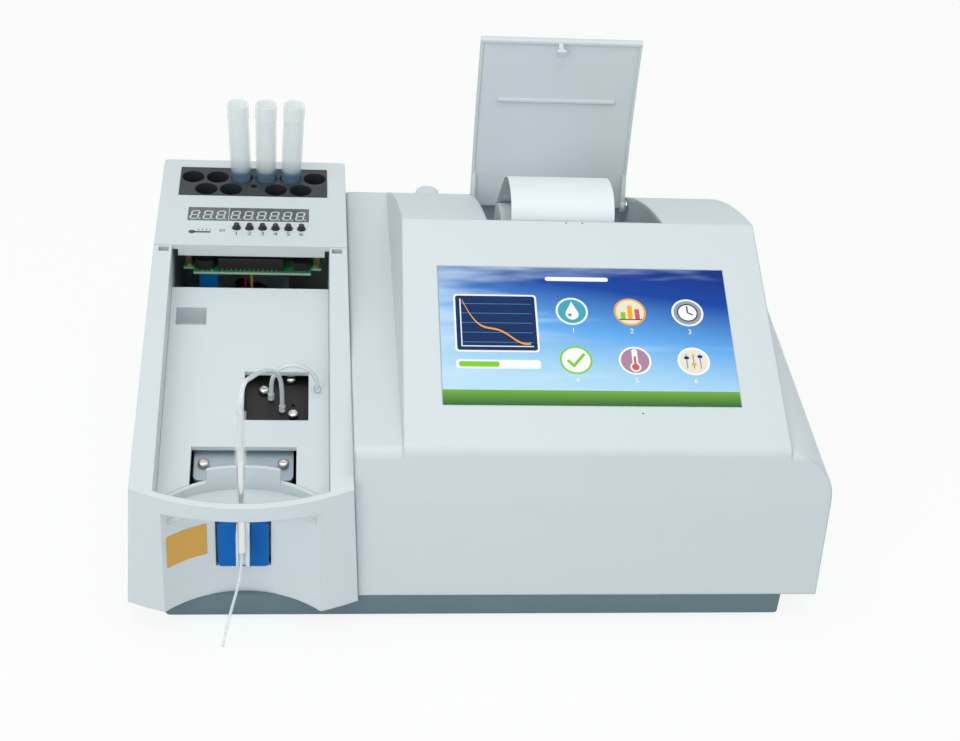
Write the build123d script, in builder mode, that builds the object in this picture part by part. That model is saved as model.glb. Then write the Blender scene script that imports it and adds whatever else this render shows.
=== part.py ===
from build123d import *
from math import atan, cos, pi, radians, sin, sqrt, tan
import os

os.makedirs("parts", exist_ok=True)

# Benchtop chemistry analyzer. X runs to the right, Y to the rear, Z up; the
# origin is on the table under the middle of the instrument. Millimetres.

# ---------------------------------------------------------------- sizes
wall = 2.5                  # moulded wall of every cover
fit = 0.1                   # assembly gap per side between fixed covers
play = 0.3                  # gap per side round pieces that move
depth_rear = 131.2          # rear face of the main cover
mod_rear_reach = 4.0        # how far the module stands out behind it
mod_rear = depth_rear + mod_rear_reach
foot_height = 3.0

# base pan
base_half_width = 165.0
base_front = -118.9
base_wall = 3.0
base_top = 17.3
base_floor = foot_height + 3.0
foot_d = 16.0
foot_x = base_half_width - 25.0
foot_front_y = base_front + 23.9
foot_rear_y = depth_rear - 21.2
base_back = 0.6             # base stands in from the rear wall
base_corner = 3.0
boss_d = 9.0
boss_h = 8.0

# main cover
main_left = -63.8
main_right = 183.1
main_front = -119.5
side_draft = 3.4            # degrees
deck_z = 113.5
side_round = 30.0
deck_left_round = 1.5
brow_round = 6.0
brow_back = 2.5             # the wall leans back above the crease
crease_z = 82.0
crest_y = 16.56
crest_z = 166.2
rear_arc_r = 454.0
wedge_left = -44.1          # at deck level
wedge_right = 153.8
wedge_draft = 2.5           # degrees
flange_in = 12.0

# touch screen
screen_w = 154.08
screen_h = 85.92
screen_left = -23.5
screen_foot_y = -92.46
lcd_border = 6.0
lcd_t = 6.0

# printer bay, lid and paper
bay_left = 4.5
bay_right = 101.2
bay_front = 17.2
bay_rear = depth_rear - 12.0
bay_floor = 96.0
bay_wall = 2.0
hinge_y = bay_rear - 7.2
hinge_z = 119.0
lid_open = 70.0             # degrees between closed and the open rest pose
lid_gap = 0.9
lid_rear_reach = 3.5
lid_skirt = 3.3
lid_rib_w = 69.6
lid_rib_at = 64.0
hinge_pin_d = 3.0
hinge_arm_w = 2.5
hinge_arm_r = 3.6
hook_x = 51.5
hook_w = 5.2
hook_h = 7.0
paper_w = 57.0
paper_x = 46.7
paper_t = 0.25
roll_r = 20.5
roll_core_d = 12.0
roll_y = hinge_y - 37.0
roll_z = 118.0
platen_r = 4.5
platen_z = 148.5
journal_d = 4.0

# sample module
mod_x = -123.6
mod_foot_half = 59.5
mod_flare = 3.0             # degrees per side
nose_r = 133.4
nose_front = -137.5
channel_half = 43.6
rear_round = 2.5
rail_front_y = -124.6
rail_front_z = 95.7
rail_slope = 12.0           # degrees
channel_depth = 19.0
floor_t = 2.5
recess_half = 39.9
recess_apex_y = -115.8
recess_wall = 3.0
ring_t = 3.5
ring_low_z = 84.5
cup_floor_z = 75.0
cup_floor_t = 3.0
cup_r = 65.0
cup_wall = 2.0
cup_back_y = -99.2
crescent_half = 18.65
crescent_z = 89.3

# incubator head
head_front = mod_rear - 94.0
head_top = 131.15
head_t = 3.0
lip_low_z = 124.0
floor_rear_y = head_front - 10.3
latch_off = 47.9            # latch slots, either side of the middle
latch_w = 5.6
latch_y = (head_front - 4.4, head_front - 1.1)
block_x0 = -166.7
block_x1 = -81.0
block_y1 = mod_rear - 9.2
block_y0 = block_y1 - 31.2
block_low_z = 100.0
block_top = 131.6
well_d = 13.0
well_depth = 26.4
rear_well_x = -159.3
rear_well_y = block_y1 - 11.0
well_pitch = 14.2
front_well_y = block_y0 + 6.7
front_well_x = (13.0, 27.3)  # either side of the middle
tube_d = 12.0
tube_len = 75.0
tube_wall = 0.9
tube_rim_d = 12.6
tube_rim_h = 9.0
tube_wells = (2, 3, 4)
tube_lean = (-1.9, 0.0, 1.9)  # degrees, each as far as its well lets it lean
display_x0 = -160.1
display_x1 = -91.5
display_y0 = head_front + 26.0
display_y1 = display_y0 + 14.3
display_split_x = -137.0
button_x0 = -132.2
button_pitch = 7.3
button_y = head_front + 18.5
button_d = 4.4
button_travel = 0.8
led_x = -140.0
led_y = head_front + 15.7
led_d = 3.0
pcb_t = 1.6
wire_d = 1.3
head_pcb_z = 110.0
head_pcb_x0 = -161.8
head_pcb_x1 = -84.4
head_pcb_y0 = head_front + 2.8
head_pcb_y1 = head_pcb_y0 + 44.0

# fluid path
probe_x = -123.9
probe_y = -128.5
needle_d = 4.0
needle_bore = 1.4
needle_low_z = 57.2
needle_top_z = 125.0
sleeve_d = 6.0
sleeve_low_z = 116.0
sleeve_top_z = 146.0
loop_d = 2.4
tip_d = 1.5
block_drop = 7.5            # flow cell block below the channel floor
cell_w = 39.0

# trigger
trigger_w = 26.0
trigger_low_z = 37.5
trigger_top_z = 67.0
trigger_t = 2.2
trigger_gap = 1.1
guide_low_z = 46.0
trigger_front = -118.6
trigger_travel = 2.0
guide_w = 6.8

# inside
bench_low_z = 16.0
bench_t = 4.0
beam_x = -110.0
beam_z = 50.0
wheel_x = -130.0
wheel_r = 25.5
motor_shaft_d = 4.0
pump_x = -125.0
pump_y = 95.0
pump_z = 50.0
rotor_r = 16.5
fan_x = 60.0
fan_z = 62.0
fan_size = 40.0
bolt_d = 3.0

# ---------------------------------------------------------------- derived
slope = tan(radians(rail_slope))
tilt = atan((crest_z - deck_z) / (crest_y - main_front))
screen_foot_z = deck_z + (screen_foot_y - main_front) * tan(tilt)
brow_z = deck_z + brow_back * tan(tilt)
band = brow_back / (brow_z - crease_z)
bench_top = bench_low_z + bench_t
chord_y = depth_rear - crest_y
chord_z = crest_z - deck_z
chord = sqrt(chord_y**2 + chord_z**2)
arc_drop = sqrt(rear_arc_r**2 - (chord / 2) ** 2)
arc_y = (crest_y + depth_rear) / 2 - arc_drop * chord_z / chord
arc_z = (crest_z + deck_z) / 2 - arc_drop * chord_y / chord
nose_cy = nose_front + nose_r
arris_y = nose_cy - sqrt(nose_r**2 - recess_half**2)
recess_deep = recess_apex_y - arris_y
recess_r = (recess_half**2 + recess_deep**2) / (2 * recess_deep)
recess_cy = recess_apex_y - recess_r
cup_cy = cup_back_y - cup_r - cup_wall
x_left = mod_x - channel_half
x_right = mod_x + channel_half


def rail_z(y):
    """Height of the sloping rail tops at depth y."""
    return rail_front_z + (y - rail_front_y) * slope


def floor_z(y):
    """Height of the channel floor at depth y."""
    return rail_z(y) - channel_depth


def arc_height(y):
    """Height of the curved rear deck at depth y."""
    return arc_z + sqrt(rear_arc_r**2 - (y - arc_y) ** 2)


def bar(x0, x1, y0, y1, z0, z1, mode=Mode.ADD):
    """Box between two corners, put into the part being built."""
    with Locations(((x0 + x1) / 2, (y0 + y1) / 2, (z0 + z1) / 2)):
        Box(x1 - x0, y1 - y0, z1 - z0, mode=mode)


def pin(x, y, z0, z1, d, mode=Mode.ADD):
    """Upright cylinder from z0 to z1, put into the part being built."""
    with Locations((x, y, (z0 + z1) / 2)):
        Cylinder(d / 2, z1 - z0, mode=mode)


def outline(plane, points):
    """Closed straight-sided outline on a plane."""
    with BuildSketch(plane) as shape:
        with BuildLine():
            Polyline(*points, close=True)
        make_face()
    return shape.sketch


def side_outline(x, points):
    """Outline of (Y, Z) points, facing +X from the given x."""
    return outline(Plane.YZ.offset(x), points)


def finish(item, name):
    """Label one finished piece and write its file."""
    item.part.label = name
    export_step(item.part, f"parts/{name}.step")


# ---------------------------------------------------------------- main cover volumes
cover_x = (main_left - 10, main_right + 10)
cover_len = depth_rear - main_front


def main_volume(inset):
    """Outer volume of the main cover, drawn in by inset on every side."""
    front_plane = Plane.XZ.offset(-depth_rear)
    deep = deck_z - base_top
    lean = deep * tan(radians(side_draft))
    leave_left = deep * tan(radians(mod_flare))
    with BuildSketch(front_plane) as deck_front:
        with BuildLine():
            Polyline(
                (main_left, base_top),
                (main_left - leave_left, deck_z),
                (main_right - lean, deck_z),
                (main_right, base_top),
                close=True,
            )
        make_face()
        fillet(deck_front.vertices().group_by(Axis.Y)[-1].sort_by(Axis.X)[0], deck_left_round)
        fillet(deck_front.vertices().group_by(Axis.Y)[-1].sort_by(Axis.X)[-1], side_round)
        offset(amount=-inset)
    with BuildSketch(Plane.YZ.offset(cover_x[0])) as deck_side:
        with BuildLine():
            Polyline(
                (main_front, base_top),
                (main_front, crease_z),
                (main_front + band * (deck_z - crease_z), deck_z),
                (depth_rear, deck_z),
                (depth_rear, base_top),
                close=True,
            )
        make_face()
        fillet(deck_side.vertices().group_by(Axis.Y)[-1].sort_by(Axis.X)[0], brow_round)
        offset(amount=-inset)
    rise = crest_z - deck_z
    draw = tan(radians(wedge_draft))
    with BuildSketch(front_plane) as wedge_front:
        with BuildLine():
            Polyline(
                (wedge_left - (deck_z - base_top) * draw, base_top),
                (wedge_left + (rise + 5) * draw, crest_z + 5),
                (wedge_right - (rise + 5) * draw, crest_z + 5),
                (wedge_right + (deck_z - base_top) * draw, base_top),
                close=True,
            )
        make_face()
        offset(amount=-inset)
    arc_mid_y = (crest_y + depth_rear) / 2
    with BuildSketch(Plane.YZ.offset(cover_x[0])) as wedge_side:
        with BuildLine():
            Line((main_front, base_top), (main_front, crease_z))
            Line((main_front, crease_z), (main_front + brow_back, brow_z))
            Line((main_front + brow_back, brow_z), (crest_y, crest_z))
            ThreePointArc((crest_y, crest_z), (arc_mid_y, arc_height(arc_mid_y)), (depth_rear, deck_z))
            Line((depth_rear, deck_z), (depth_rear, base_top))
            Line((depth_rear, base_top), (main_front, base_top))
        make_face()
        brow = wedge_side.vertices().filter_by_position(Axis.Y, brow_z - 0.1, brow_z + 0.1)
        fillet(brow.sort_by(Axis.X)[0], brow_round)
        offset(amount=-inset)
    with BuildPart() as deck:
        extrude(deck_side.sketch, amount=cover_x[1] - cover_x[0])
        extrude(deck_front.sketch, amount=cover_len, mode=Mode.INTERSECT)
    with BuildPart() as wedge:
        extrude(wedge_side.sketch, amount=cover_x[1] - cover_x[0])
        extrude(wedge_front.sketch, amount=cover_len, mode=Mode.INTERSECT)
    with BuildPart() as whole:
        add(deck.part)
        add(wedge.part)
    return whole.part


main_outer = main_volume(0.0)
main_inner = main_volume(wall)

panel_plane = Plane(
    origin=(screen_left + screen_w / 2, screen_foot_y, screen_foot_z),
    x_dir=(1, 0, 0),
    z_dir=(0, -sin(tilt), cos(tilt)),
)
screen_mid = (0, screen_h / 2)
bolt_right = base_half_width - 15.0
bolt_left = main_left + 11.8
bolt_front = base_front + 10.9
bolt_rear = depth_rear - 13.2
bolt_main = [
    (bolt_right, bolt_front),
    (bolt_right, bolt_rear),
    (bolt_left, bolt_rear),
    (bolt_left, bolt_front),
]
bolt_mod = [(11.0 - base_half_width, bolt_rear + 1.0), (x_right - 10.0, bolt_rear + 1.0)]
bump_x = -20.0
bump_y = depth_rear - 6.7
bump_d = 14.5
bump_h = 6.5
bump_top = deck_z + bump_h
lead_y = (40.0, 100.0)      # opening for leads between module and main cover
lead_z = (30.0, 80.0)
lead_in = 8.0
panel_x = (-50.0, 150.0)
panel_z = (24.0, 93.5)
panel_edge = 6.0

# small dome over the rear deck
with BuildPart() as dome:
    pin(bump_x, bump_y, deck_z - 1, bump_top, bump_d)
    fillet(dome.edges().group_by(Axis.Z)[-1], 3.0)

with BuildPart() as upper_housing:
    add(main_outer)
    add(main_inner, mode=Mode.SUBTRACT)
    # opening over the base pan, inside a bolting flange
    bar(main_left + flange_in, base_half_width - flange_in, base_front + flange_in, depth_rear - flange_in,
        base_top - 1, base_top + wall + 1, Mode.SUBTRACT)
    # flange bosses for the cover screws
    for bx, by in bolt_main:
        pin(bx, by, base_top + wall, base_top + wall + boss_h, boss_d)
        pin(bx, by, base_top, base_top + wall + boss_h - 2, bolt_d, Mode.SUBTRACT)
    add(dome.part)
    # screen window
    with BuildSketch(panel_plane):
        with Locations(screen_mid):
            Rectangle(screen_w + 2 * fit, screen_h + 2 * fit)
    extrude(amount=-wall - 2, mode=Mode.SUBTRACT)
    # printer bay opening
    bar(bay_left, bay_right, bay_front, bay_rear, deck_z - 8, crest_z + 10, Mode.SUBTRACT)
    # window for the connector plate in the rear wall
    bar(panel_x[0] + panel_edge, panel_x[1] - panel_edge, depth_rear - wall - 1, depth_rear + 1,
        panel_z[0] + panel_edge, panel_z[1] - 3.5, Mode.SUBTRACT)
    # lead-through to the sample module
    bar(main_left - lead_in, main_left + wall + 1, *lead_y, *lead_z, Mode.SUBTRACT)
finish(upper_housing, "upper_housing")

# ---------------------------------------------------------------- base
psu_size = (64.0, 62.0, 40.0)
psu_mid = (base_half_width - 47.0, depth_rear - 56.2)
with BuildPart() as base_pan:
    bar(-base_half_width, base_half_width, base_front, depth_rear - base_back, foot_height, base_top)
    fillet(base_pan.edges().filter_by(Axis.Z), base_corner)
    bar(-base_half_width + base_wall, base_half_width - base_wall, base_front + base_wall,
        depth_rear - base_back - base_wall, base_floor, base_top + 1, Mode.SUBTRACT)
    for bx, by in bolt_main + bolt_mod:
        pin(bx, by, base_floor, base_top, boss_d)
        pin(bx, by, foot_height, base_top, bolt_d + 2 * fit, Mode.SUBTRACT)
        pin(bx, by, foot_height, foot_height + 2.4, 7.0, Mode.SUBTRACT)
    # air slots under the power supply
    with Locations((psu_mid[0], psu_mid[1], base_floor)):
        with GridLocations(8.0, 1, 7, 1):
            Box(3, 50, 10, mode=Mode.SUBTRACT)
finish(base_pan, "base_pan")

with BuildPart() as cover_screws:
    for bx, by in bolt_main + bolt_mod:
        pin(bx, by, foot_height + 0.4, foot_height + 2.4, 6.0)
        pin(bx, by, foot_height + 2.4, base_top + wall + 5, bolt_d)
finish(cover_screws, "cover_screws")

with BuildPart() as rubber_feet:
    for fx in (-foot_x, foot_x):
        for fy in (foot_front_y, foot_rear_y):
            pin(fx, fy, 0, foot_height, foot_d)
    chamfer(rubber_feet.edges().group_by(Axis.Z)[0], 0.6)
finish(rubber_feet, "rubber_feet")

# ---------------------------------------------------------------- touch screen
with BuildPart() as touch_panel:
    with BuildSketch(panel_plane):
        with Locations(screen_mid):
            Rectangle(screen_w, screen_h)
    extrude(amount=-wall)
finish(touch_panel, "touch_panel")

with BuildPart() as lcd_module:
    with BuildSketch(panel_plane.offset(-wall)):
        with Locations(screen_mid):
            Rectangle(screen_w + 2 * lcd_border, screen_h + 2 * lcd_border)
    extrude(amount=-lcd_t)
finish(lcd_module, "lcd_module")

# ---------------------------------------------------------------- printer bay
spindle_d = roll_core_d - 2 * fit
platen_y = bay_front + 2.4 + paper_t / 2 + play + platen_r
with BuildPart() as printer_bay:
    add(main_inner)
    bar(bay_left - bay_wall, bay_right + bay_wall, bay_front - bay_wall, bay_rear + bay_wall,
        bay_floor - bay_wall, crest_z + 10, Mode.INTERSECT)
    bar(bay_left, bay_right, bay_front, bay_rear, bay_floor, crest_z + 10, Mode.SUBTRACT)
    # roll spindle across the bay
    with Locations(Location(((bay_left + bay_right) / 2, roll_y, roll_z), (0, 90, 0))):
        Cylinder(spindle_d / 2, bay_right - bay_left)
    # hinge pins of the lid
    for px in (bay_left + 2, bay_right - 2.5):
        with Locations(Location((px, hinge_y, hinge_z), (0, 90, 0))):
            Cylinder(hinge_pin_d / 2, 4 if px < paper_x else 5)
finish(printer_bay, "printer_bay")

frame_x = (paper_x - paper_w / 2 - 5, paper_x + paper_w / 2 + 6)
cheek = 3.0
with BuildPart() as printer_frame:
    bar(frame_x[0], frame_x[1], bay_front, 42, 120, platen_z - platen_r - 2)
    for cx in (frame_x[0], frame_x[1] - cheek):
        bar(cx, cx + cheek, bay_front, 34, platen_z - platen_r - 2, platen_z + 3.5)
    with Locations(Location((paper_x, platen_y, platen_z), (0, 90, 0))):
        Cylinder(journal_d / 2 + 0.05, frame_x[1] - frame_x[0] + 20, mode=Mode.SUBTRACT)
finish(printer_frame, "printer_frame")

platen_x = (frame_x[0] + cheek + play, frame_x[1] - cheek - play)
with BuildPart() as platen_roller:
    with Locations(Location(((platen_x[0] + platen_x[1]) / 2, platen_y, platen_z), (0, 90, 0))):
        Cylinder(platen_r, platen_x[1] - platen_x[0])
        Cylinder(journal_d / 2, frame_x[1] - frame_x[0])
finish(platen_roller, "platen_roller")

with BuildPart() as paper_roll:
    with Locations(Location((paper_x, roll_y, roll_z), (0, 90, 0))):
        Cylinder(roll_r, paper_w)
        Cylinder(roll_core_d / 2, paper_w, mode=Mode.SUBTRACT)
finish(paper_roll, "paper_roll")

# slack arch of paper from the roll, over to the print slot at the front
arch_top = 174.8
arch_slot_y = bay_front + 2.4
leave = roll_r + play + 0.2
leave_turn = radians(38.2)
leave_y = roll_y + leave * cos(leave_turn)
leave_z = roll_z + leave * sin(leave_turn)
with BuildPart() as paper_strip:
    with BuildSketch(Plane.YZ.offset(paper_x - paper_w / 2)):
        with BuildLine():
            FilletPolyline(
                (arch_slot_y, platen_z),
                (arch_slot_y, arch_top),
                (leave_y - (arch_top - leave_z) * tan(leave_turn), arch_top),
                (leave_y, leave_z),
                radius=[17.0, 36.0],
            )
            offset(amount=paper_t / 2, side=Side.BOTH)
        make_face()
    extrude(amount=paper_w)
finish(paper_strip, "paper_strip")

# ---------------------------------------------------------------- printer lid, open at rest
turn = radians(-lid_open)
lid_plane = Plane(
    origin=(0, hinge_y, hinge_z),
    x_dir=(0, cos(turn), sin(turn)),
    z_dir=(1, 0, 0),
)
lid_x = (bay_left + lid_gap, bay_right - 2.1)
lid_tip = bay_front + 0.8 - hinge_y
lid_centre = (arc_y - hinge_y, arc_z - hinge_z)


def lid_band(x, deep, p0, p1):
    """Strip of the lid's curved section, deep below its skin, from p0 to p1 along the bay."""
    with BuildSketch(lid_plane.offset(x)) as band:
        with Locations(lid_centre):
            Circle(rear_arc_r)
            Circle(rear_arc_r - deep, mode=Mode.SUBTRACT)
        with Locations(((p0 + p1) / 2, 30)):
            Rectangle(p1 - p0, 80, mode=Mode.INTERSECT)
    return band.sketch


def lid_skin(p):
    """Height of the lid's outer skin over the hinge at p along the bay."""
    return arc_height(hinge_y + p) - hinge_z


def hinge_arm(x):
    """Web and eye that join the lid's side to its hinge pin."""
    with BuildSketch(lid_plane.offset(x)) as arm:
        Circle(hinge_arm_r)
        with BuildLine():
            Polyline(
                (-hinge_arm_r, 0),
                (-16, lid_skin(-16) - lid_skirt),
                (-16, lid_skin(-16) - 1),
                (lid_rear_reach - 0.3, lid_skin(lid_rear_reach) - 0.5),
                (hinge_arm_r, 0),
                close=True,
            )
        make_face()
        Circle(hinge_pin_d / 2 + 0.1, mode=Mode.SUBTRACT)
    return arm.sketch


lid_skirt_t = 1.6
with BuildPart() as printer_lid:
    extrude(lid_band(lid_x[0], wall, lid_tip, lid_rear_reach), amount=lid_x[1] - lid_x[0])
    extrude(lid_band(lid_x[0], lid_skirt, lid_tip, lid_tip + lid_skirt_t), amount=lid_x[1] - lid_x[0])
    for sx in (lid_x[0], lid_x[1] - lid_skirt_t):
        extrude(lid_band(sx, lid_skirt, lid_tip, lid_rear_reach - 8), amount=lid_skirt_t)
    for ax in (lid_x[0], lid_x[1] - hinge_arm_w):
        extrude(hinge_arm(ax), amount=hinge_arm_w)
    # stiffening rib and the latch hook on the inner face
    rib_p = -lid_rib_at * chord_y / chord
    rib_x = (lid_x[0] + lid_x[1] - lid_rib_w) / 2
    extrude(lid_band(rib_x, wall + 1.2, rib_p - 0.8, rib_p + 0.8), amount=lid_rib_w)
    extrude(lid_band(hook_x - 1.4, wall + hook_h, lid_tip + 0.4, lid_tip + 2.6), amount=2.8)
    with BuildSketch(lid_plane.offset(hook_x - hook_w / 2)):
        with Locations((lid_tip + 2.1, lid_skin(lid_tip) - wall - hook_h)):
            Rectangle(3.4, 2.4)
    extrude(amount=hook_w)
finish(printer_lid, "printer_lid")

# ---------------------------------------------------------------- sample module housing
mod_top = head_top - head_t
flare = tan(radians(mod_flare))


def module_front(half, low, high, inset):
    """Front view of the module: a trapezoid drawn in by the flare."""
    foot = half - (low - base_top) * flare - inset
    head = half - (high - base_top) * flare - inset
    return outline(
        Plane.XZ.offset(-mod_rear),
        [(mod_x - foot, low), (mod_x + foot, low), (mod_x + head, high), (mod_x - head, high)],
    )


def nose_plan(z, half, inset):
    """Plan of the module: straight sides, curved nose, drawn in by inset."""
    with BuildSketch(Plane.XY.offset(z)) as plan:
        with Locations((mod_x, nose_cy)):
            Circle(nose_r - inset)
        with Locations((mod_x, nose_front / 2)):
            Rectangle(2 * half, -nose_front, mode=Mode.INTERSECT)
        with Locations((mod_x, (mod_rear - inset) / 2)):
            Rectangle(2 * half, mod_rear - inset)
    return plan.sketch


mod_len = mod_rear - nose_front
with BuildPart() as module_volume:
    extrude(
        side_outline(mod_x - mod_foot_half - 1, [
            (nose_front - 1, base_top),
            (nose_front - 1, rail_z(nose_front - 1)),
            (head_front, rail_z(head_front)),
            (head_front, mod_top),
            (mod_rear, mod_top),
            (mod_rear, base_top),
        ]),
        amount=2 * mod_foot_half + 2,
    )
    extrude(module_front(mod_foot_half, base_top, head_top, 0), amount=mod_len + 1, mode=Mode.INTERSECT)
    extrude(nose_plan(base_top, mod_foot_half + 1, 0), amount=head_top, mode=Mode.INTERSECT)
    rear_edges = module_volume.edges().filter_by_position(Axis.Y, mod_rear - 0.1, mod_rear + 0.1)
    fillet(rear_edges.filter_by(lambda e: abs(e.tangent_at(0.5).Z) > 0.9), rear_round)

# hollow of one side wall, mirrored for the other
hollow_in = channel_half + 2.2
hollow_low = base_top + wall
hollow_front = nose_front + 27.5
with BuildPart() as side_hollow:
    extrude(module_front(mod_foot_half, hollow_low, mod_top - wall, wall + 0.5), amount=mod_len)
    bar(mod_x + hollow_in, mod_x + mod_foot_half, hollow_front, mod_rear - wall - 3, 0, 200, Mode.INTERSECT)
    extrude(
        side_outline(mod_x, [
            (hollow_front, hollow_low),
            (hollow_front, rail_z(hollow_front) - wall),
            (head_front, rail_z(head_front) - wall - 3),
            (mod_rear, mod_top - wall),
            (mod_rear, hollow_low),
        ]),
        amount=mod_foot_half,
        mode=Mode.INTERSECT,
    )
other_hollow = side_hollow.part.mirror(Plane.YZ.offset(mod_x))

with BuildPart() as lower_cavity:
    extrude(nose_plan(hollow_low, channel_half, wall + 1), amount=cup_floor_z - hollow_low)
    with BuildSketch(Plane.XY.offset(hollow_low)):
        with Locations((mod_x, recess_cy)):
            Circle(recess_r + recess_wall)
    extrude(amount=cup_floor_z - hollow_low, mode=Mode.SUBTRACT)

ledge_w = 2.0
outlet_x = mod_x + 18.6
outlet_z = 34.0
outlet_r = 3.0
outlet_flange_r = 5.0
outlet_sunk = 2.0
outlet_reach = 2.3
shelf_y = block_y0 - 3
trigger_hole = trigger_w / 2 + trigger_gap
with BuildPart() as module_housing:
    add(module_volume.part)
    add(side_hollow.part, mode=Mode.SUBTRACT)
    add(other_hollow, mode=Mode.SUBTRACT)
    add(lower_cavity.part, mode=Mode.SUBTRACT)
    extrude(nose_plan(cup_floor_z, channel_half, ring_t), amount=100, mode=Mode.SUBTRACT)
    # bottom opening over the base pan
    bar(-base_half_width + flange_in, x_right, -100, mod_rear - flange_in, base_top - 1, hollow_low + 1,
        Mode.SUBTRACT)
    # concave recess under the ring
    with BuildSketch(Plane.XY.offset(base_top)):
        with Locations((mod_x, recess_cy)):
            Circle(recess_r)
    extrude(amount=ring_low_z - base_top, mode=Mode.SUBTRACT)
    # window behind the trigger plate
    bar(mod_x - trigger_hole, mod_x + trigger_hole, recess_apex_y - 4, recess_apex_y + recess_wall + 1,
        trigger_low_z - trigger_gap / 2, trigger_top_z + trigger_gap / 2, Mode.SUBTRACT)
    # ledges under the channel floor
    for lx in (x_left, x_right - ledge_w):
        extrude(
            side_outline(lx, [
                (-95, floor_z(-95) - floor_t - 2),
                (-95, floor_z(-95) - floor_t),
                (floor_rear_y, floor_z(floor_rear_y) - floor_t),
                (floor_rear_y, floor_z(floor_rear_y) - floor_t - 2),
            ]),
            amount=ledge_w,
        )
    # shelf that carries the heater block
    bar(x_left, x_right, shelf_y, mod_rear - wall, block_low_z - wall, block_low_z)
    # slots for the head cover's latches in the rail tops
    for latch_x in (mod_x - latch_off, mod_x + latch_off):
        bar(latch_x - latch_w / 2, latch_x + latch_w / 2, *latch_y, rail_z(head_front) - 6, head_top + 1,
            Mode.SUBTRACT)
    # bosses and holes: cover screws, waste outlet
    for bx, by in bolt_mod:
        pin(bx, by, base_top, hollow_low + 8, 9.0)
        pin(bx, by, base_top, hollow_low + 6, bolt_d, Mode.SUBTRACT)
    with Locations(Location((outlet_x, mod_rear, outlet_z), (90, 0, 0))):
        Cylinder(outlet_r, 20, mode=Mode.SUBTRACT)
        Cylinder(outlet_flange_r + fit, 2 * outlet_sunk, mode=Mode.SUBTRACT)
    # lead-through to the main cover
    bar(x_right - 1, x_right + 25, *lead_y, *lead_z, Mode.SUBTRACT)
finish(module_housing, "module_housing")

# ---------------------------------------------------------------- channel floor
plate_x = (mod_x - channel_half + fit, mod_x + channel_half - fit)
pocket = (-163.8, -147.3, 3.1, 15.7)
pocket_deep = 8.0
pocket_wall = 1.2
cell_window = (-125.0, -91.0, -63.0, -30.0)
bracket_window = (-151.0, -97.0, -104.9, -80.7)
bracket_drop = 6.0
bracket_t = 1.5
post_y = -75.0
screw_bracket = [(-144.7, -86.9), (-103.7, -86.9)]
pocket_low = floor_z(pocket[2]) - pocket_deep
with BuildPart() as channel_floor:
    extrude(
        side_outline(plate_x[0], [
            (-125, floor_z(-125) - floor_t),
            (-125, floor_z(-125)),
            (floor_rear_y, floor_z(floor_rear_y)),
            (floor_rear_y, floor_z(floor_rear_y) - floor_t),
        ]),
        amount=plate_x[1] - plate_x[0],
    )
    # finger pocket with its own walls
    pocket_y = (pocket[2] - pocket_wall, pocket[3] + pocket_wall)
    extrude(
        side_outline(pocket[0] - pocket_wall, [
            (pocket_y[0], pocket_low - pocket_wall),
            (pocket_y[0], floor_z(pocket_y[0]) - 1.0),
            (pocket_y[1], floor_z(pocket_y[1]) - 1.0),
            (pocket_y[1], pocket_low - pocket_wall),
        ]),
        amount=pocket[1] - pocket[0] + 2 * pocket_wall,
    )
    bar(pocket[0], pocket[1], pocket[2], pocket[3], pocket_low, 130, Mode.SUBTRACT)
    # posts that carry the probe bracket
    for sx, sy in screw_bracket:
        pin(sx, post_y, floor_z(post_y) - bracket_drop, floor_z(post_y) - floor_t / 2, 6.0)
    extrude(
        side_outline(plate_x[0], [
            (-125, floor_z(-125) - 30),
            (-125, floor_z(-125) - bracket_drop),
            (-60, floor_z(-60) - bracket_drop),
            (-60, floor_z(-60) - 30),
        ]),
        amount=plate_x[1] - plate_x[0],
        mode=Mode.SUBTRACT,
    )
    with BuildSketch(Plane.XY):
        with Locations((mod_x, cup_cy)):
            Circle(cup_r + cup_wall + fit)
    extrude(amount=150, mode=Mode.SUBTRACT)
    bar(*cell_window, 60, 150, Mode.SUBTRACT)
    bar(*bracket_window, 60, 150, Mode.SUBTRACT)
finish(channel_floor, "channel_floor")

# ---------------------------------------------------------------- cup, with its raised crescent
with BuildPart() as probe_cup:
    with BuildSketch(Plane.XY.offset(cup_floor_z - cup_floor_t)):
        with Locations((mod_x, cup_cy)):
            Circle(cup_r + cup_wall)
        with Locations((mod_x, recess_cy)):
            Circle(recess_r + recess_wall + fit, mode=Mode.SUBTRACT)
        with Locations((mod_x, nose_cy)):
            Circle(nose_r - ring_t - 1, mode=Mode.INTERSECT)
        with Locations((mod_x, -112)):
            Rectangle(2 * channel_half - 2 * fit, 40, mode=Mode.INTERSECT)
    extrude(amount=cup_floor_t)
    with BuildSketch(Plane.XY.offset(cup_floor_z)):
        with Locations((mod_x, cup_cy)):
            Circle(cup_r + cup_wall)
            Circle(cup_r, mode=Mode.SUBTRACT)
        with Locations((mod_x, -108)):
            Rectangle(2 * channel_half - 2 * fit, 24, mode=Mode.INTERSECT)
    extrude(amount=crescent_z - cup_floor_z)
    # the rim beside the crescent follows the channel floor
    for x0, x1 in ((plate_x[0] - 1, mod_x - crescent_half), (mod_x + crescent_half, plate_x[1] + 1)):
        extrude(
            side_outline(x0, [
                (-125, floor_z(-125)),
                (-125, floor_z(-125) + 40),
                (-95, floor_z(-95) + 40),
                (-95, floor_z(-95)),
            ]),
            amount=x1 - x0,
            mode=Mode.SUBTRACT,
        )
finish(probe_cup, "probe_cup")

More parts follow.
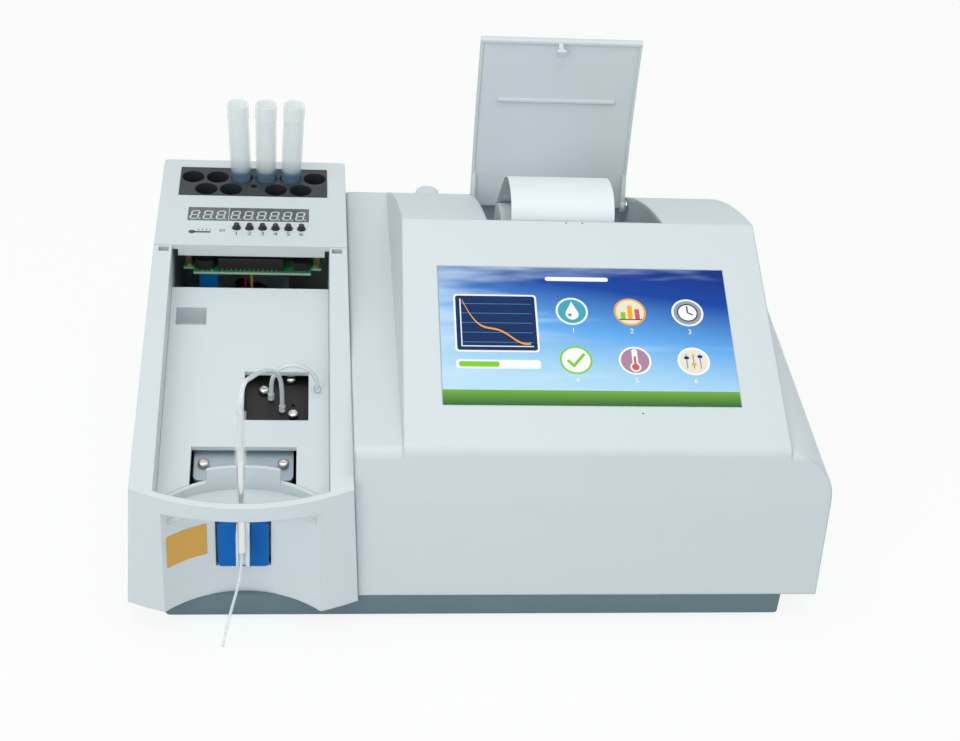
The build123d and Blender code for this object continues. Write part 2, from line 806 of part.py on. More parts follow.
bracket_x = (-149.7, -98.5)
with BuildPart() as bracket_plate:
    extrude(
        side_outline(bracket_x[0], [
            (-96.5, floor_z(-96.5) - bracket_drop - bracket_t),
            (-96.5, floor_z(-96.5) - bracket_drop),
            (-71, floor_z(-71) - bracket_drop),
            (-71, floor_z(-71) - bracket_drop - bracket_t),
        ]),
        amount=bracket_x[1] - bracket_x[0],
    )
    for sx, sy in screw_bracket:
        pin(sx, sy, 60, 100, bolt_d + fit, Mode.SUBTRACT)
    fillet(bracket_plate.edges().group_by(Axis.Y)[0].filter_by(lambda e: e.length < 2), 3.0)
finish(bracket_plate, "bracket_plate")

# ---------------------------------------------------------------- probe and its tubes
with BuildPart() as probe_needle:
    pin(probe_x, probe_y, needle_low_z, needle_top_z, needle_d)
    pin(probe_x, probe_y, needle_low_z, needle_top_z, needle_bore, Mode.SUBTRACT)
finish(probe_needle, "probe_needle")

with BuildPart() as probe_sleeve:
    pin(probe_x, probe_y, sleeve_low_z, sleeve_top_z, sleeve_d)
    pin(probe_x, probe_y, sleeve_low_z, sleeve_top_z, needle_d + fit, Mode.SUBTRACT)
finish(probe_sleeve, "probe_sleeve")


def corner_radii(route, share=0.45):
    """Largest arc that each corner's two runs leave room for."""
    radii = []
    for before, here, after in zip(route, route[1:], route[2:]):
        run_in = Vector(*here) - Vector(*before)
        run_out = Vector(*after) - Vector(*here)
        half_turn = radians(run_in.get_angle(run_out)) / 2
        radii.append(share * min(run_in.length, run_out.length) / tan(half_turn))
    return radii


def tube_along(route, d, name):
    """Solid tube along a hand-set route of straight runs and arcs."""
    radii = corner_radii(route)
    print(name, "radii", [round(r, 1) for r in radii])
    with BuildPart() as tube:
        with BuildLine() as path:
            FilletPolyline(*route, radius=radii)
        with BuildSketch(path.line ^ 0):
            Circle(d / 2)
        sweep(path=path.line)
    length = sum(edge.length for edge in path.edges())
    print(name, "volume", round(tube.part.volume, 2), "length x section", round(length * pi * d * d / 4, 2))
    return tube


nipple_a = (-110.9, -41.6)
nipple_b = (-104.9, -49.7)
nipple_h = 4.0
floor_port = (-86.4, -43.2)
port_h = 3.0
nipple_a_z = floor_z(nipple_a[1]) - block_drop + nipple_h
nipple_b_z = floor_z(nipple_b[1]) - block_drop + nipple_h
port_z = floor_z(floor_port[1]) + port_h

loop_a_route = [
    (nipple_a[0], nipple_a[1], nipple_a_z),
    (nipple_a[0], nipple_a[1], 98.0),
    (-109.0, -42.0, 104.9),
    (-104.6, -42.2, 109.6),
    (-99.2, -42.5, 111.2),
    (-93.2, -42.8, 109.6),
    (-88.4, -43.0, 105.4),
    (floor_port[0], floor_port[1], 99.8),
    (floor_port[0], floor_port[1], port_z),
]
loop_b_route = [
    (nipple_b[0], nipple_b[1], nipple_b_z),
    (nipple_b[0], nipple_b[1], 103.5),
    (-107.2, -57.5, 116.5),
    (-111.2, -72.5, 130.0),
    (-115.6, -90.0, 141.5),
    (-119.3, -106.5, 150.4),
    (-121.9, -117.7, 156.5),
    (-123.3, -124.3, 155.1),
    (probe_x, probe_y, 149.9),
    (probe_x, probe_y, needle_top_z + fit),
]
tip_route = [
    (probe_x, probe_y, needle_low_z),
    (-124.4, -128.9, 46.0),
    (-126.2, -130.9, 34.5),
    (-129.3, -134.0, 22.5),
    (-132.0, -137.6, 11.5),
    (-134.1, -141.2, 2.2),
]

loop_tube_a = tube_along(loop_a_route, loop_d, "loop_tube_a")
finish(loop_tube_a, "loop_tube_a")
loop_tube_b = tube_along(loop_b_route, loop_d, "loop_tube_b")
finish(loop_tube_b, "loop_tube_b")
aspiration_tube = tube_along(tip_route, tip_d, "aspiration_tube")
finish(aspiration_tube, "aspiration_tube")

# ---------------------------------------------------------------- flow cell
screw_cell = [(-114.7, -36.4), (-100.4, -28.6), (-99.0, -52.7)]
cell_y0 = -66.0
cell_y1 = -25.0
with BuildPart() as flow_cell_block:
    extrude(
        side_outline(mod_x - 3.9, [
            (cell_y0, bench_top),
            (cell_y0, floor_z(cell_y0) - block_drop),
            (cell_y1, floor_z(cell_y1) - block_drop),
            (cell_y1, bench_top),
        ]),
        amount=cell_w,
    )
    with Locations(Location((beam_x, (cell_y0 + cell_y1) / 2, beam_z), (90, 0, 0))):
        Cylinder(3.0, cell_y1 - cell_y0, mode=Mode.SUBTRACT)
    for sx, sy in screw_cell:
        pin(sx, sy, floor_z(sy) - block_drop - 8, 100, bolt_d + fit, Mode.SUBTRACT)
    pin(-99.1, -45.5, 70, 100, 1.8, Mode.SUBTRACT)
finish(flow_cell_block, "flow_cell_block")

head_d = 5.6
with BuildPart() as small_screws:
    for sx, sy in screw_cell:
        top = floor_z(sy) - block_drop
        pin(sx, sy, top - 7, top + 0.7, bolt_d)
        pin(sx, sy, top + 0.7, top + 2.2, head_d)
    for sx, sy in screw_bracket:
        top = floor_z(sy) - bracket_drop
        pin(sx, sy, top - bracket_t - 4, top + 0.7, bolt_d)
        pin(sx, sy, top + 0.7, top + 2.2, head_d)
finish(small_screws, "small_screws")

with BuildPart() as fluid_fittings:
    for (nx, ny), top in ((nipple_a, nipple_a_z), (nipple_b, nipple_b_z)):
        pin(nx, ny, top - nipple_h + 0.5, top, 3.4)
    pin(floor_port[0], floor_port[1], port_z - port_h + 0.5, port_z, 3.8)
finish(fluid_fittings, "fluid_fittings")

# ---------------------------------------------------------------- trigger and probe guide
guide_front = probe_y + 0.5
holder_y = recess_apex_y + recess_wall + 5.8
with BuildPart() as probe_guide:
    bar(mod_x - guide_w / 2, mod_x + guide_w / 2, guide_front, holder_y, guide_low_z, trigger_top_z - 1)
    pin(probe_x, probe_y, 40, trigger_top_z + 1, needle_d + fit, Mode.SUBTRACT)
    bar(mod_x - 20, mod_x + 20, holder_y - 2, holder_y, 30, 70.5)
    for px in (-18.5, 18.5):
        with Locations(Location((mod_x + px, holder_y - 4, 62), (90, 0, 0))):
            Cylinder(2.5, 10)
        with Locations(Location((mod_x + px, holder_y - 4, 38), (90, 0, 0))):
            Cylinder(2.5, 10)
    # the posts end on the curved back of the recess wall
    with Locations((mod_x, recess_cy, 50)):
        Cylinder(recess_r + recess_wall, 100, mode=Mode.SUBTRACT)
    bar(mod_x - guide_w / 2, mod_x + guide_w / 2, guide_front, holder_y, guide_low_z, trigger_top_z - 1)
    pin(probe_x, probe_y, 40, trigger_top_z + 1, needle_d + fit, Mode.SUBTRACT)
finish(probe_guide, "probe_guide")

slot_half = guide_w / 2 + play
with BuildPart() as trigger_plate:
    bar(mod_x - trigger_w / 2, mod_x + trigger_w / 2, trigger_front, trigger_front + trigger_t,
        trigger_low_z, trigger_top_z)
    fillet(trigger_plate.edges().filter_by(Axis.Y), 2.0)
    bar(mod_x - slot_half, mod_x + slot_half, trigger_front - 1, trigger_front + trigger_t + 1,
        guide_low_z - 0.5, trigger_top_z + 1, Mode.SUBTRACT)
finish(trigger_plate, "trigger_plate")

switch_front = trigger_front + trigger_t + trigger_travel + play
with BuildPart() as trigger_switch:
    bar(mod_x + 5, mod_x + 11, switch_front, holder_y - 2, 48, 58)
finish(trigger_switch, "trigger_switch")

label_t = 0.3
label_h = 20.5
with BuildPart() as side_label:
    with BuildSketch(Plane.XY.offset(46.5)):
        with Locations((mod_x, recess_cy)):
            Circle(recess_r)
            Circle(recess_r - label_t, mode=Mode.SUBTRACT)
        with Locations((-151.6, -124)):
            Rectangle(19.4, 20, mode=Mode.INTERSECT)
    extrude(amount=label_h)
finish(side_label, "side_label")

# ---------------------------------------------------------------- incubator head
button_x = [button_x0 + i * button_pitch for i in range(6)]
lip_x0 = -164.0
lip_x1 = -82.5
with BuildPart() as head_cover:
    extrude(module_front(mod_foot_half, mod_top, head_top, 0), amount=mod_rear - head_front - fit)
    rear_edges = head_cover.edges().filter_by_position(Axis.Y, mod_rear - 0.1, mod_rear + 0.1)
    fillet(rear_edges.filter_by(lambda e: abs(e.tangent_at(0.5).Z) > 0.9), rear_round)
    bar(lip_x0, lip_x1, head_front + fit, head_front + 3, lip_low_z, mod_top + 1)
    bar(block_x0 - fit, block_x1 + fit, block_y0 - fit, block_y1 + fit, mod_top - 1, head_top + 1,
        Mode.SUBTRACT)
    bar(display_x0, display_x1, display_y0, display_y1, mod_top - 1, head_top + 1, Mode.SUBTRACT)
    for bx in button_x:
        pin(bx, button_y, mod_top - 1, head_top + 1, button_d + 2 * play, Mode.SUBTRACT)
    pin(led_x, led_y, mod_top - 1, head_top + 1, led_d + 2 * fit, Mode.SUBTRACT)
    # posts that carry the button board
    for px in (head_pcb_x0 + 3, head_pcb_x1 - 3):
        for py in (head_pcb_y0 + 18, head_pcb_y1 - 3.5):
            pin(px, py, head_pcb_z + pcb_t, mod_top + 1, 5.0)
finish(head_cover, "head_cover")

with BuildPart() as heater_block:
    bar(block_x0, block_x1, block_y0, block_y1, block_low_z, block_top)
    well_places = [(rear_well_x + i * well_pitch, rear_well_y) for i in range(6)]
    well_mid = (block_x0 + block_x1) / 2
    well_places += [(well_mid + s * dx, front_well_y) for dx in front_well_x for s in (-1, 1)]
    for wx, wy in well_places:
        pin(wx, wy, block_top - well_depth, block_top + 1, well_d, Mode.SUBTRACT)
    pin(well_mid, 105.5, block_top - well_depth, block_top + 1, 4.0, Mode.SUBTRACT)
finish(heater_block, "heater_block")

tube_low = block_top - well_depth + play
for number, well in enumerate(tube_wells, start=1):
    tx, ty = well_places[well]
    with BuildPart() as test_tube:
        with BuildSketch(Plane.XZ):
            with BuildLine():
                Line((0, 0), (0, tube_wall))
                RadiusArc((0, tube_wall), (tube_d / 2 - tube_wall, tube_d / 2), -(tube_d / 2 - tube_wall))
                Line((tube_d / 2 - tube_wall, tube_d / 2), (tube_d / 2 - tube_wall, tube_len))
                Line((tube_d / 2 - tube_wall, tube_len), (tube_rim_d / 2, tube_len))
                Line((tube_rim_d / 2, tube_len), (tube_rim_d / 2, tube_len - tube_rim_h))
                Line((tube_rim_d / 2, tube_len - tube_rim_h), (tube_d / 2, tube_len - tube_rim_h - 1))
                Line((tube_d / 2, tube_len - tube_rim_h - 1), (tube_d / 2, tube_d / 2))
                RadiusArc((tube_d / 2, tube_d / 2), (0, 0), tube_d / 2)
            make_face()
        revolve(axis=Axis.Z)
    # each tube leans about the middle of its well
    pivot_z = (block_top - well_depth + block_top) / 2
    lean = Location((tx, ty, pivot_z)) * Location((0, 0, 0), (0, tube_lean[number - 1], 0))
    seated = lean * Location((0, 0, tube_low - pivot_z)) * test_tube.part
    seated.label = f"test_tube_{number}"
    export_step(seated, f"parts/test_tube_{number}.step")

with BuildPart() as display_window:
    bar(display_x0 + fit, display_x1 - fit, display_y0 + fit, display_y1 - fit, head_top - 1.5, head_top)
finish(display_window, "display_window")

board_top = head_pcb_z + pcb_t
with BuildPart() as digit_modules:
    module_y = (display_y0 + fit, display_y1 - fit)
    bar(display_x0 + fit, display_split_x - play, *module_y, board_top, head_top - 1.5)
    bar(display_split_x + play, display_x1 - fit, *module_y, board_top, head_top - 1.5)
finish(digit_modules, "digit_modules")

button_seat = mod_top - button_travel - play
button_cap = 1.0
for number, bx in enumerate(button_x, start=1):
    with BuildPart() as button:
        pin(bx, button_y, button_seat - button_cap, button_seat, button_d + 1.6)
        pin(bx, button_y, button_seat, head_top + 1.0, button_d)
        pin(bx, button_y, head_top + 1.0, head_top + 3.2, 3.2)
        fillet(button.faces().sort_by(Axis.Z)[-1].edges(), 0.8)
    finish(button, f"button_{number}")

with BuildPart() as indicator_led:
    pin(led_x, led_y, board_top, head_top, led_d)
    fillet(indicator_led.faces().sort_by(Axis.Z)[-1].edges(), 1.2)
finish(indicator_led, "indicator_led")

notch_x = 5.8
notch_y = 5.0
with BuildPart() as head_board:
    bar(head_pcb_x0, head_pcb_x1, head_pcb_y0, head_pcb_y1, head_pcb_z, board_top)
    bar(head_pcb_x0 - 1, head_pcb_x0 + notch_x, head_pcb_y0 - 1, head_pcb_y0 + notch_y,
        head_pcb_z - 1, board_top + 1, Mode.SUBTRACT)
    bar(head_pcb_x1 - notch_x, head_pcb_x1 + 1, head_pcb_y0 - 1, head_pcb_y0 + notch_y,
        head_pcb_z - 1, board_top + 1, Mode.SUBTRACT)
finish(head_board, "head_board")

switch_top = button_seat - button_cap - button_travel - fit
with BuildPart() as head_components:
    pin(head_pcb_x0 + 12.4, head_pcb_y0 + 7.0, board_top, board_top + 6, 12.0)
    bar(head_pcb_x0 + 19.8, head_pcb_x0 + 56.0, head_pcb_y0 + 1.5, head_pcb_y0 + 9.0,
        board_top, board_top + 8)
    bar(head_pcb_x1 - 15.6, head_pcb_x1 - 7.6, head_pcb_y0 + 2.0, head_pcb_y0 + 8.0, board_top, board_top + 5)
    for bx in button_x:
        bar(bx - 3, bx + 3, button_y - 3, button_y + 3, board_top, switch_top)
finish(head_components, "head_components")

with BuildPart() as ribbon_cable:
    bar(head_pcb_x0 + 8.8, head_pcb_x0 + 19.2, head_pcb_y0 + 2.0, head_pcb_y0 + 3.0, bench_top, head_pcb_z)
finish(ribbon_cable, "ribbon_cable")

with BuildPart() as head_wires:
    for wx in (head_pcb_x0 + 34.8, head_pcb_x0 + 38.3):
        pin(wx, head_pcb_y0 + 3.5, bench_top, head_pcb_z, wire_d)
finish(head_wires, "head_wires")

# ---------------------------------------------------------------- optics
bench_x = (-base_half_width + flange_in + 2.0, x_right - 6.0)
bench_rear = 55.0
with BuildPart() as optics_bench:
    bar(*bench_x, cell_y0 - 6, bench_rear, bench_low_z, bench_top)
    for lx in (bench_x[0] + 5, bench_x[1] - 6):
        for ly in (cell_y0, bench_rear - 7):
            pin(lx, ly, base_floor, bench_low_z, boss_d)
    # motor wall and lamp house
    bar(wheel_x - 12, wheel_x + 8.5, 4, 6, bench_low_z, beam_z + 12)
    bar(beam_x - 11, beam_x + 11, 10, 34, bench_low_z, beam_z + 16)
    with Locations((beam_x, 22, beam_z)):
        Cylinder(7.0, 40, mode=Mode.SUBTRACT)
    with Locations(Location((beam_x, 14, beam_z), (90, 0, 0))):
        Cylinder(3.0, 20, mode=Mode.SUBTRACT)
    with Locations(Location((wheel_x, 5, beam_z), (90, 0, 0))):
        Cylinder(3.2, 10, mode=Mode.SUBTRACT)
    # detector board on the flow cell block
    bar(beam_x - 9, beam_x + 9, cell_y0 - 1.6, cell_y0, beam_z - 9, beam_z + 9)
    bar(beam_x - 5, beam_x + 5, cell_y0 - 6, cell_y0 - 1.6, beam_z - 5, beam_z + 5)
finish(optics_bench, "optics_bench")

with BuildPart() as lamp:
    pin(beam_x, 22, beam_z - 20, beam_z - 8, 14.0)
    pin(beam_x, 22, beam_z - 8, beam_z + 8, 9.0)
    fillet(lamp.faces().sort_by(Axis.Z)[-1].edges(), 3.0)
finish(lamp, "lamp")

wheel_y0 = -1.0
wheel_y1 = 2.0
filter_ring_r = beam_x - wheel_x
with BuildPart() as filter_wheel:
    with Locations(Location((wheel_x, (wheel_y0 + wheel_y1) / 2, beam_z), (90, 0, 0))):
        Cylinder(wheel_r, wheel_y1 - wheel_y0)
        with PolarLocations(filter_ring_r, 8):
            Cylinder(3.5, wheel_y1 - wheel_y0, mode=Mode.SUBTRACT)
        Cylinder(motor_shaft_d / 2 + 0.05, 10, mode=Mode.SUBTRACT)
finish(filter_wheel, "filter_wheel")

with BuildPart() as gear_motors:
    with Locations(Location((wheel_x, 18, beam_z), (90, 0, 0))):
        Cylinder(8.4, 24)
    with Locations(Location((wheel_x, 4, beam_z), (90, 0, 0))):
        Cylinder(motor_shaft_d / 2, 10)
    pin(pump_x, pump_y, base_floor, pump_z, 28.0)
    pin(pump_x, pump_y, pump_z, pump_z + 14, motor_shaft_d)
finish(gear_motors, "gear_motors")

pump_half = 22.0
pump_floor = 3.0
pump_h = 16.0
with BuildPart() as pump_head:
    with Locations((pump_x, pump_y, pump_z + pump_h / 2)):
        Box(2 * pump_half, 2 * pump_half, pump_h)
    pin(pump_x, pump_y, pump_z + pump_floor, pump_z + pump_h + 1, 2 * rotor_r + 3.0, Mode.SUBTRACT)
    pin(pump_x, pump_y, pump_z - 1, pump_z + 5, motor_shaft_d + 2 * fit, Mode.SUBTRACT)
finish(pump_head, "pump_head")

roller_d = 8.0
with BuildPart() as pump_rotor:
    pin(pump_x, pump_y, pump_z + pump_floor + play, pump_z + 14, 20.0)
    with Locations((pump_x, pump_y, pump_z + pump_floor + play + 5)):
        with PolarLocations(rotor_r - roller_d / 2, 3):
            Cylinder(roller_d / 2, 10)
    pin(pump_x, pump_y, pump_z, pump_z + 20, motor_shaft_d + fit, Mode.SUBTRACT)
finish(pump_rotor, "pump_rotor")

flange_y = mod_rear - outlet_sunk
outlet_end = mod_rear + outlet_reach
with BuildPart() as waste_outlet:
    with Locations(Location((outlet_x, flange_y - wall / 2, outlet_z), (90, 0, 0))):
        Cylinder(outlet_r - fit, wall)
    with Locations(Location((outlet_x, flange_y + outlet_sunk / 2, outlet_z), (90, 0, 0))):
        Cylinder(outlet_flange_r, outlet_sunk)
    with Locations(Location((outlet_x, (mod_rear + outlet_end) / 2, outlet_z), (90, 0, 0))):
        Cylinder(2.0, outlet_end - mod_rear)
    with Locations(Location((outlet_x, mod_rear, outlet_z), (90, 0, 0))):
        Cylinder(1.0, 40, mode=Mode.SUBTRACT)
finish(waste_outlet, "waste_outlet")

# ---------------------------------------------------------------- rear connectors
plate_t = 1.5
plate_y1 = depth_rear - wall
plate_y0 = plate_y1 - plate_t
inlet = (114.0, 141.0, 56.0, 76.0)
rocker_box = (96.0, 109.0, 56.0, 76.0)
port_boxes = [(-30.0, -14.0, 50.0, 58.0), (-6.0, 24.0, 48.0, 60.0)]
with BuildPart() as rear_panel:
    bar(*panel_x, plate_y0, plate_y1, *panel_z)
    bar(inlet[0], inlet[1], plate_y0 - 1, plate_y1 + 1, inlet[2], inlet[3], Mode.SUBTRACT)
    bar(rocker_box[0], rocker_box[1], plate_y0 - 1, plate_y1 + 1, rocker_box[2], rocker_box[3],
        Mode.SUBTRACT)
    for x0, x1, z0, z1 in port_boxes:
        bar(x0, x1, plate_y0 - 1, plate_y1 + 1, z0, z1, Mode.SUBTRACT)
    for row in range(-3, 4):
        bar(fan_x - 15, fan_x + 15, plate_y0 - 1, plate_y1 + 1, fan_z + row * 5 - 1.4, fan_z + row * 5 + 1.4,
            Mode.SUBTRACT)
finish(rear_panel, "rear_panel")

rocker_mid = ((rocker_box[0] + rocker_box[1]) / 2, (rocker_box[2] + rocker_box[3]) / 2)
with BuildPart() as rear_sockets:
    # mains inlet with its three blades
    bar(inlet[0], inlet[1], plate_y0 - 22, plate_y1 + 1.6, inlet[2], inlet[3])
    bar(inlet[0] - 2, inlet[1] + 2, plate_y1, plate_y1 + 1.6, inlet[2] - 2, inlet[3] + 2)
    bar(inlet[0] + 2, inlet[1] - 2, plate_y1 - 12, plate_y1 + 2, inlet[2] + 2, inlet[3] - 2, Mode.SUBTRACT)
    for bx, bz in ((-6.5, 1.5), (6.5, 1.5), (0, -2.5)):
        mx = (inlet[0] + inlet[1]) / 2 + bx
        mz = (inlet[2] + inlet[3]) / 2 + bz
        bar(mx - 1, mx + 1, plate_y1 - 12, plate_y1 - 2, mz - 2, mz + 2)
    # body of the power switch
    bar(rocker_box[0], rocker_box[1], plate_y0 - 16, plate_y1, rocker_box[2], rocker_box[3])
    bar(rocker_box[0] - 1.5, rocker_box[1] + 1.5, plate_y1, plate_y1 + 1.2,
        rocker_box[2] - 1.5, rocker_box[3] + 1.5)
    bar(rocker_box[0] + 1.5, rocker_box[1] - 1.5, plate_y1 - 9, plate_y1 + 2,
        rocker_box[2] + 1.5, rocker_box[3] - 1.5, Mode.SUBTRACT)
    # data sockets
    for x0, x1, z0, z1 in port_boxes:
        bar(x0, x1, plate_y0 - 12, plate_y1 + 1.0, z0, z1)
        bar(x0 + 1.5, x1 - 1.5, plate_y1 - 8, plate_y1 + 2, z0 + 1.5, z1 - 1.5, Mode.SUBTRACT)
finish(rear_sockets, "rear_sockets")

rocker_w = rocker_box[1] - rocker_box[0] - 3 - 2 * play
with BuildPart() as power_rocker:
    with BuildSketch(Plane.YZ.offset(rocker_mid[0] - rocker_w / 2)):
        with Locations((plate_y1 - 3, rocker_mid[1])):
            Circle(4.0)
            Polygon((0, -6.6), (4.2, -6.8), (3.0, 0), (2.4, 6.8), (-1.4, 6.6), align=None)
    extrude(amount=rocker_w)
finish(power_rocker, "power_rocker")

fan_y0 = plate_y0 - 10
with BuildPart() as fan_frame:
    with Locations((fan_x, (fan_y0 + plate_y0) / 2, fan_z)):
        Box(fan_size, plate_y0 - fan_y0, fan_size)
    with Locations(Location((fan_x, plate_y0 - 5, fan_z), (90, 0, 0))):
        Cylinder(18.5, 11, mode=Mode.SUBTRACT)
    bar(fan_x - 19, fan_x + 19, plate_y0 - 2, plate_y0, fan_z - 1.5, fan_z + 1.5)
    with Locations(Location((fan_x, plate_y0 - 4.5, fan_z), (90, 0, 0))):
        Cylinder(motor_shaft_d / 2, 9)
finish(fan_frame, "fan_frame")

with BuildPart() as fan_rotor:
    with Locations(Location((fan_x, fan_y0 + 3.8, fan_z), (90, 0, 0))):
        Cylinder(8.5, 7)
        with PolarLocations(12.3, 7):
            Box(9.5, 1.4, 6.5)
        Cylinder(motor_shaft_d / 2 + 0.05, 8, mode=Mode.SUBTRACT)
finish(fan_rotor, "fan_rotor")

# ---------------------------------------------------------------- electronics
pcb_x = (main_left + 19.8, base_half_width - 21.0)
pcb_y = (base_front + 22.9, 36.0)
pcb_z = 16.0
with BuildPart() as main_board:
    bar(*pcb_x, *pcb_y, pcb_z, pcb_z + pcb_t)
    for sx in (pcb_x[0] + 6, pcb_x[1] - 6):
        for sy in (pcb_y[0] + 6, pcb_y[1] - 6):
            pin(sx, sy, base_floor, pcb_z, 6.0)
    # chips, connectors and capacitors
    top = pcb_z + pcb_t
    bar(10, 38, -60, -32, top, top + 3)
    bar(60, 74, -60, -40, top, top + 3)
    bar(-30, -10, -20, 4, top, top + 4)
    for cx in (90, 104, 118):
        pin(cx, 10, top, top + 16, 10.0)
    bar(-40, -28, -80, -50, top, top + 9)
finish(main_board, "main_board")

with BuildPart() as power_supply:
    bar(psu_mid[0] - psu_size[0] / 2, psu_mid[0] + psu_size[0] / 2, psu_mid[1] - psu_size[1] / 2,
        psu_mid[1] + psu_size[1] / 2, base_floor, base_floor + psu_size[2])
finish(power_supply, "power_supply")
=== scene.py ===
from math import atan, cos, radians, sin, tan

import bpy
import numpy as np
from mathutils import Matrix, Vector


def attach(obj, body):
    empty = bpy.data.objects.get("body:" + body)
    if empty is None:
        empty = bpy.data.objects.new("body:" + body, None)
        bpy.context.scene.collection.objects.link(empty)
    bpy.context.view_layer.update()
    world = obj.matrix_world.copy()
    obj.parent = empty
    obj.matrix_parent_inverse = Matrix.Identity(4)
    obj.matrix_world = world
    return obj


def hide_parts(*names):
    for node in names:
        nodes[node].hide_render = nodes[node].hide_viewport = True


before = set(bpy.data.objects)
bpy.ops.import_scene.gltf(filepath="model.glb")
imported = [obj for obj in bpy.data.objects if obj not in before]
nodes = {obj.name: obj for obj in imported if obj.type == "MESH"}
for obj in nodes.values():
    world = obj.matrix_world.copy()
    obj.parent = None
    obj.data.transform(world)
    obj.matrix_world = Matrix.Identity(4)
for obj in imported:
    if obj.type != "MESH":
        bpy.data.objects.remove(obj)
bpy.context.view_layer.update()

# ---------------------------------------------------------------- camera
# The instrument is seen from above its front left corner, a little turned and a little rolled, as on a
# product sheet. The lens is a 65 mm one, about 1 m away.
eye = Vector((-0.0955, -0.7861, 0.6624))
dip, swing, roll = radians(36.46), radians(7.326), radians(4.959)
focal_px, picture_px = 1742.9, 960
ahead = Vector((sin(swing) * cos(dip), cos(swing) * cos(dip), -sin(dip)))
level = Vector((cos(swing), -sin(swing), 0))
upward = level.cross(ahead)
right = cos(roll) * level + sin(roll) * upward
above = -sin(roll) * level + cos(roll) * upward
camera_data = bpy.data.cameras.new("camera")
camera_data.sensor_width = 36.0
camera_data.lens = camera_data.sensor_width * focal_px / picture_px
camera_data.clip_start = 0.01
camera = bpy.data.objects.new("camera", camera_data)
camera.matrix_world = Matrix.Translation(eye) @ Matrix((right, above, -ahead)).transposed().to_4x4()
bpy.context.scene.collection.objects.link(camera)
bpy.context.scene.camera = camera

# ---------------------------------------------------------------- sample tubes
# Three soft clear tubes carry the sample. A short one loops over the flow cell block, a long one arches to
# the probe's sleeve, and the free end hangs down from the probe. Each is one smooth spline.
mm = 0.001
loop_width, tip_width = 2.4 * mm, 1.5 * mm


def clear_tube(name, colour, rough, through, cloud_rough, cover=1.0):
    """Clear plastic, a little milky: a fine cloud makes it now glossier, now duller by cloud_rough. A thin
    wall lets part of the view straight through it, and cover is the part that it hides."""
    material = bpy.data.materials.new(name)
    material.use_nodes = True
    tree = material.node_tree
    shader = tree.nodes["Principled BSDF"]
    shader.inputs["Base Color"].default_value = (*colour, 1)
    shader.inputs["IOR"].default_value = 1.42
    shader.inputs["Transmission Weight"].default_value = through
    shader.inputs["Alpha"].default_value = cover
    place = tree.nodes.new("ShaderNodeTexCoord")
    cloud = tree.nodes.new("ShaderNodeTexNoise")
    cloud.inputs["Scale"].default_value = 420.0
    cloud.inputs["Detail"].default_value = 3.0
    tree.links.new(place.outputs["Object"], cloud.inputs["Vector"])
    milk = tree.nodes.new("ShaderNodeMapRange")
    milk.inputs["To Min"].default_value = rough - cloud_rough
    milk.inputs["To Max"].default_value = rough + cloud_rough
    tree.links.new(cloud.outputs["Fac"], milk.inputs["Value"])
    tree.links.new(milk.outputs["Result"], shader.inputs["Roughness"])
    return material


tube_finish = clear_tube("clear_tube", (0.95, 0.985, 1.0), 0.20, 0.45, 0.05)


def sample_tube(name, route, width):
    """A tube of one smooth spline whose control points are the given route, in millimetres."""
    line = bpy.data.curves.new(name, "CURVE")
    line.dimensions = "3D"
    line.bevel_depth = width / 2
    line.bevel_resolution = 6
    line.resolution_u = 16
    line.use_fill_caps = True
    spline = line.splines.new("NURBS")
    spline.points.add(len(route) - 1)
    for point, (x, y, z) in zip(spline.points, route):
        point.co = (x * mm, y * mm, z * mm, 1)
    spline.order_u = 3
    spline.use_endpoint_u = True
    line.materials.append(tube_finish)
    tube = bpy.data.objects.new(name, line)
    bpy.context.scene.collection.objects.link(tube)
    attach(tube, "instrument")
    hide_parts(name.removesuffix("_line"))


sample_tube("loop_tube_a_line", [
    (-110.9, -41.6, 89.78), (-110.9, -41.6, 98.0), (-109.0, -42.0, 104.9), (-104.6, -42.2, 109.6),
    (-99.2, -42.5, 111.2), (-93.2, -42.8, 109.6), (-88.4, -43.0, 105.4), (-86.4, -43.2, 99.8),
    (-86.4, -43.2, 96.94),
], loop_width)
sample_tube("loop_tube_b_line", [
    (-104.9, -49.7, 88.06), (-104.9, -49.7, 103.5), (-107.2, -57.5, 116.5), (-111.2, -72.5, 130.0),
    (-115.6, -90.0, 141.5), (-119.3, -106.5, 150.4), (-121.9, -117.7, 156.5), (-123.3, -124.3, 155.1),
    (-123.9, -128.5, 149.9), (-123.9, -128.5, 125.1),
], loop_width)
sample_tube("aspiration_tube_line", [
    (-123.9, -128.5, 57.2), (-124.4, -128.9, 46.0), (-126.2, -130.9, 34.5), (-129.3, -134.0, 22.5),
    (-132.0, -137.6, 11.5), (-134.1, -141.2, 2.2),
], tip_width)

# ---------------------------------------------------------------- covers
# The main cover, the module housing, the head plate and the lid are moulded in pale blue-grey ABS with a fine
# spark-eroded texture. Their edges are broken by a small radius.
abs_colour, abs_rough, abs_shade = (0.640, 0.706, 0.722), 0.48, 0.012
abs_grain, abs_relief = 2600.0, 0.25
abs_edge, cover_edge = 0.7 * mm, 1.6 * mm


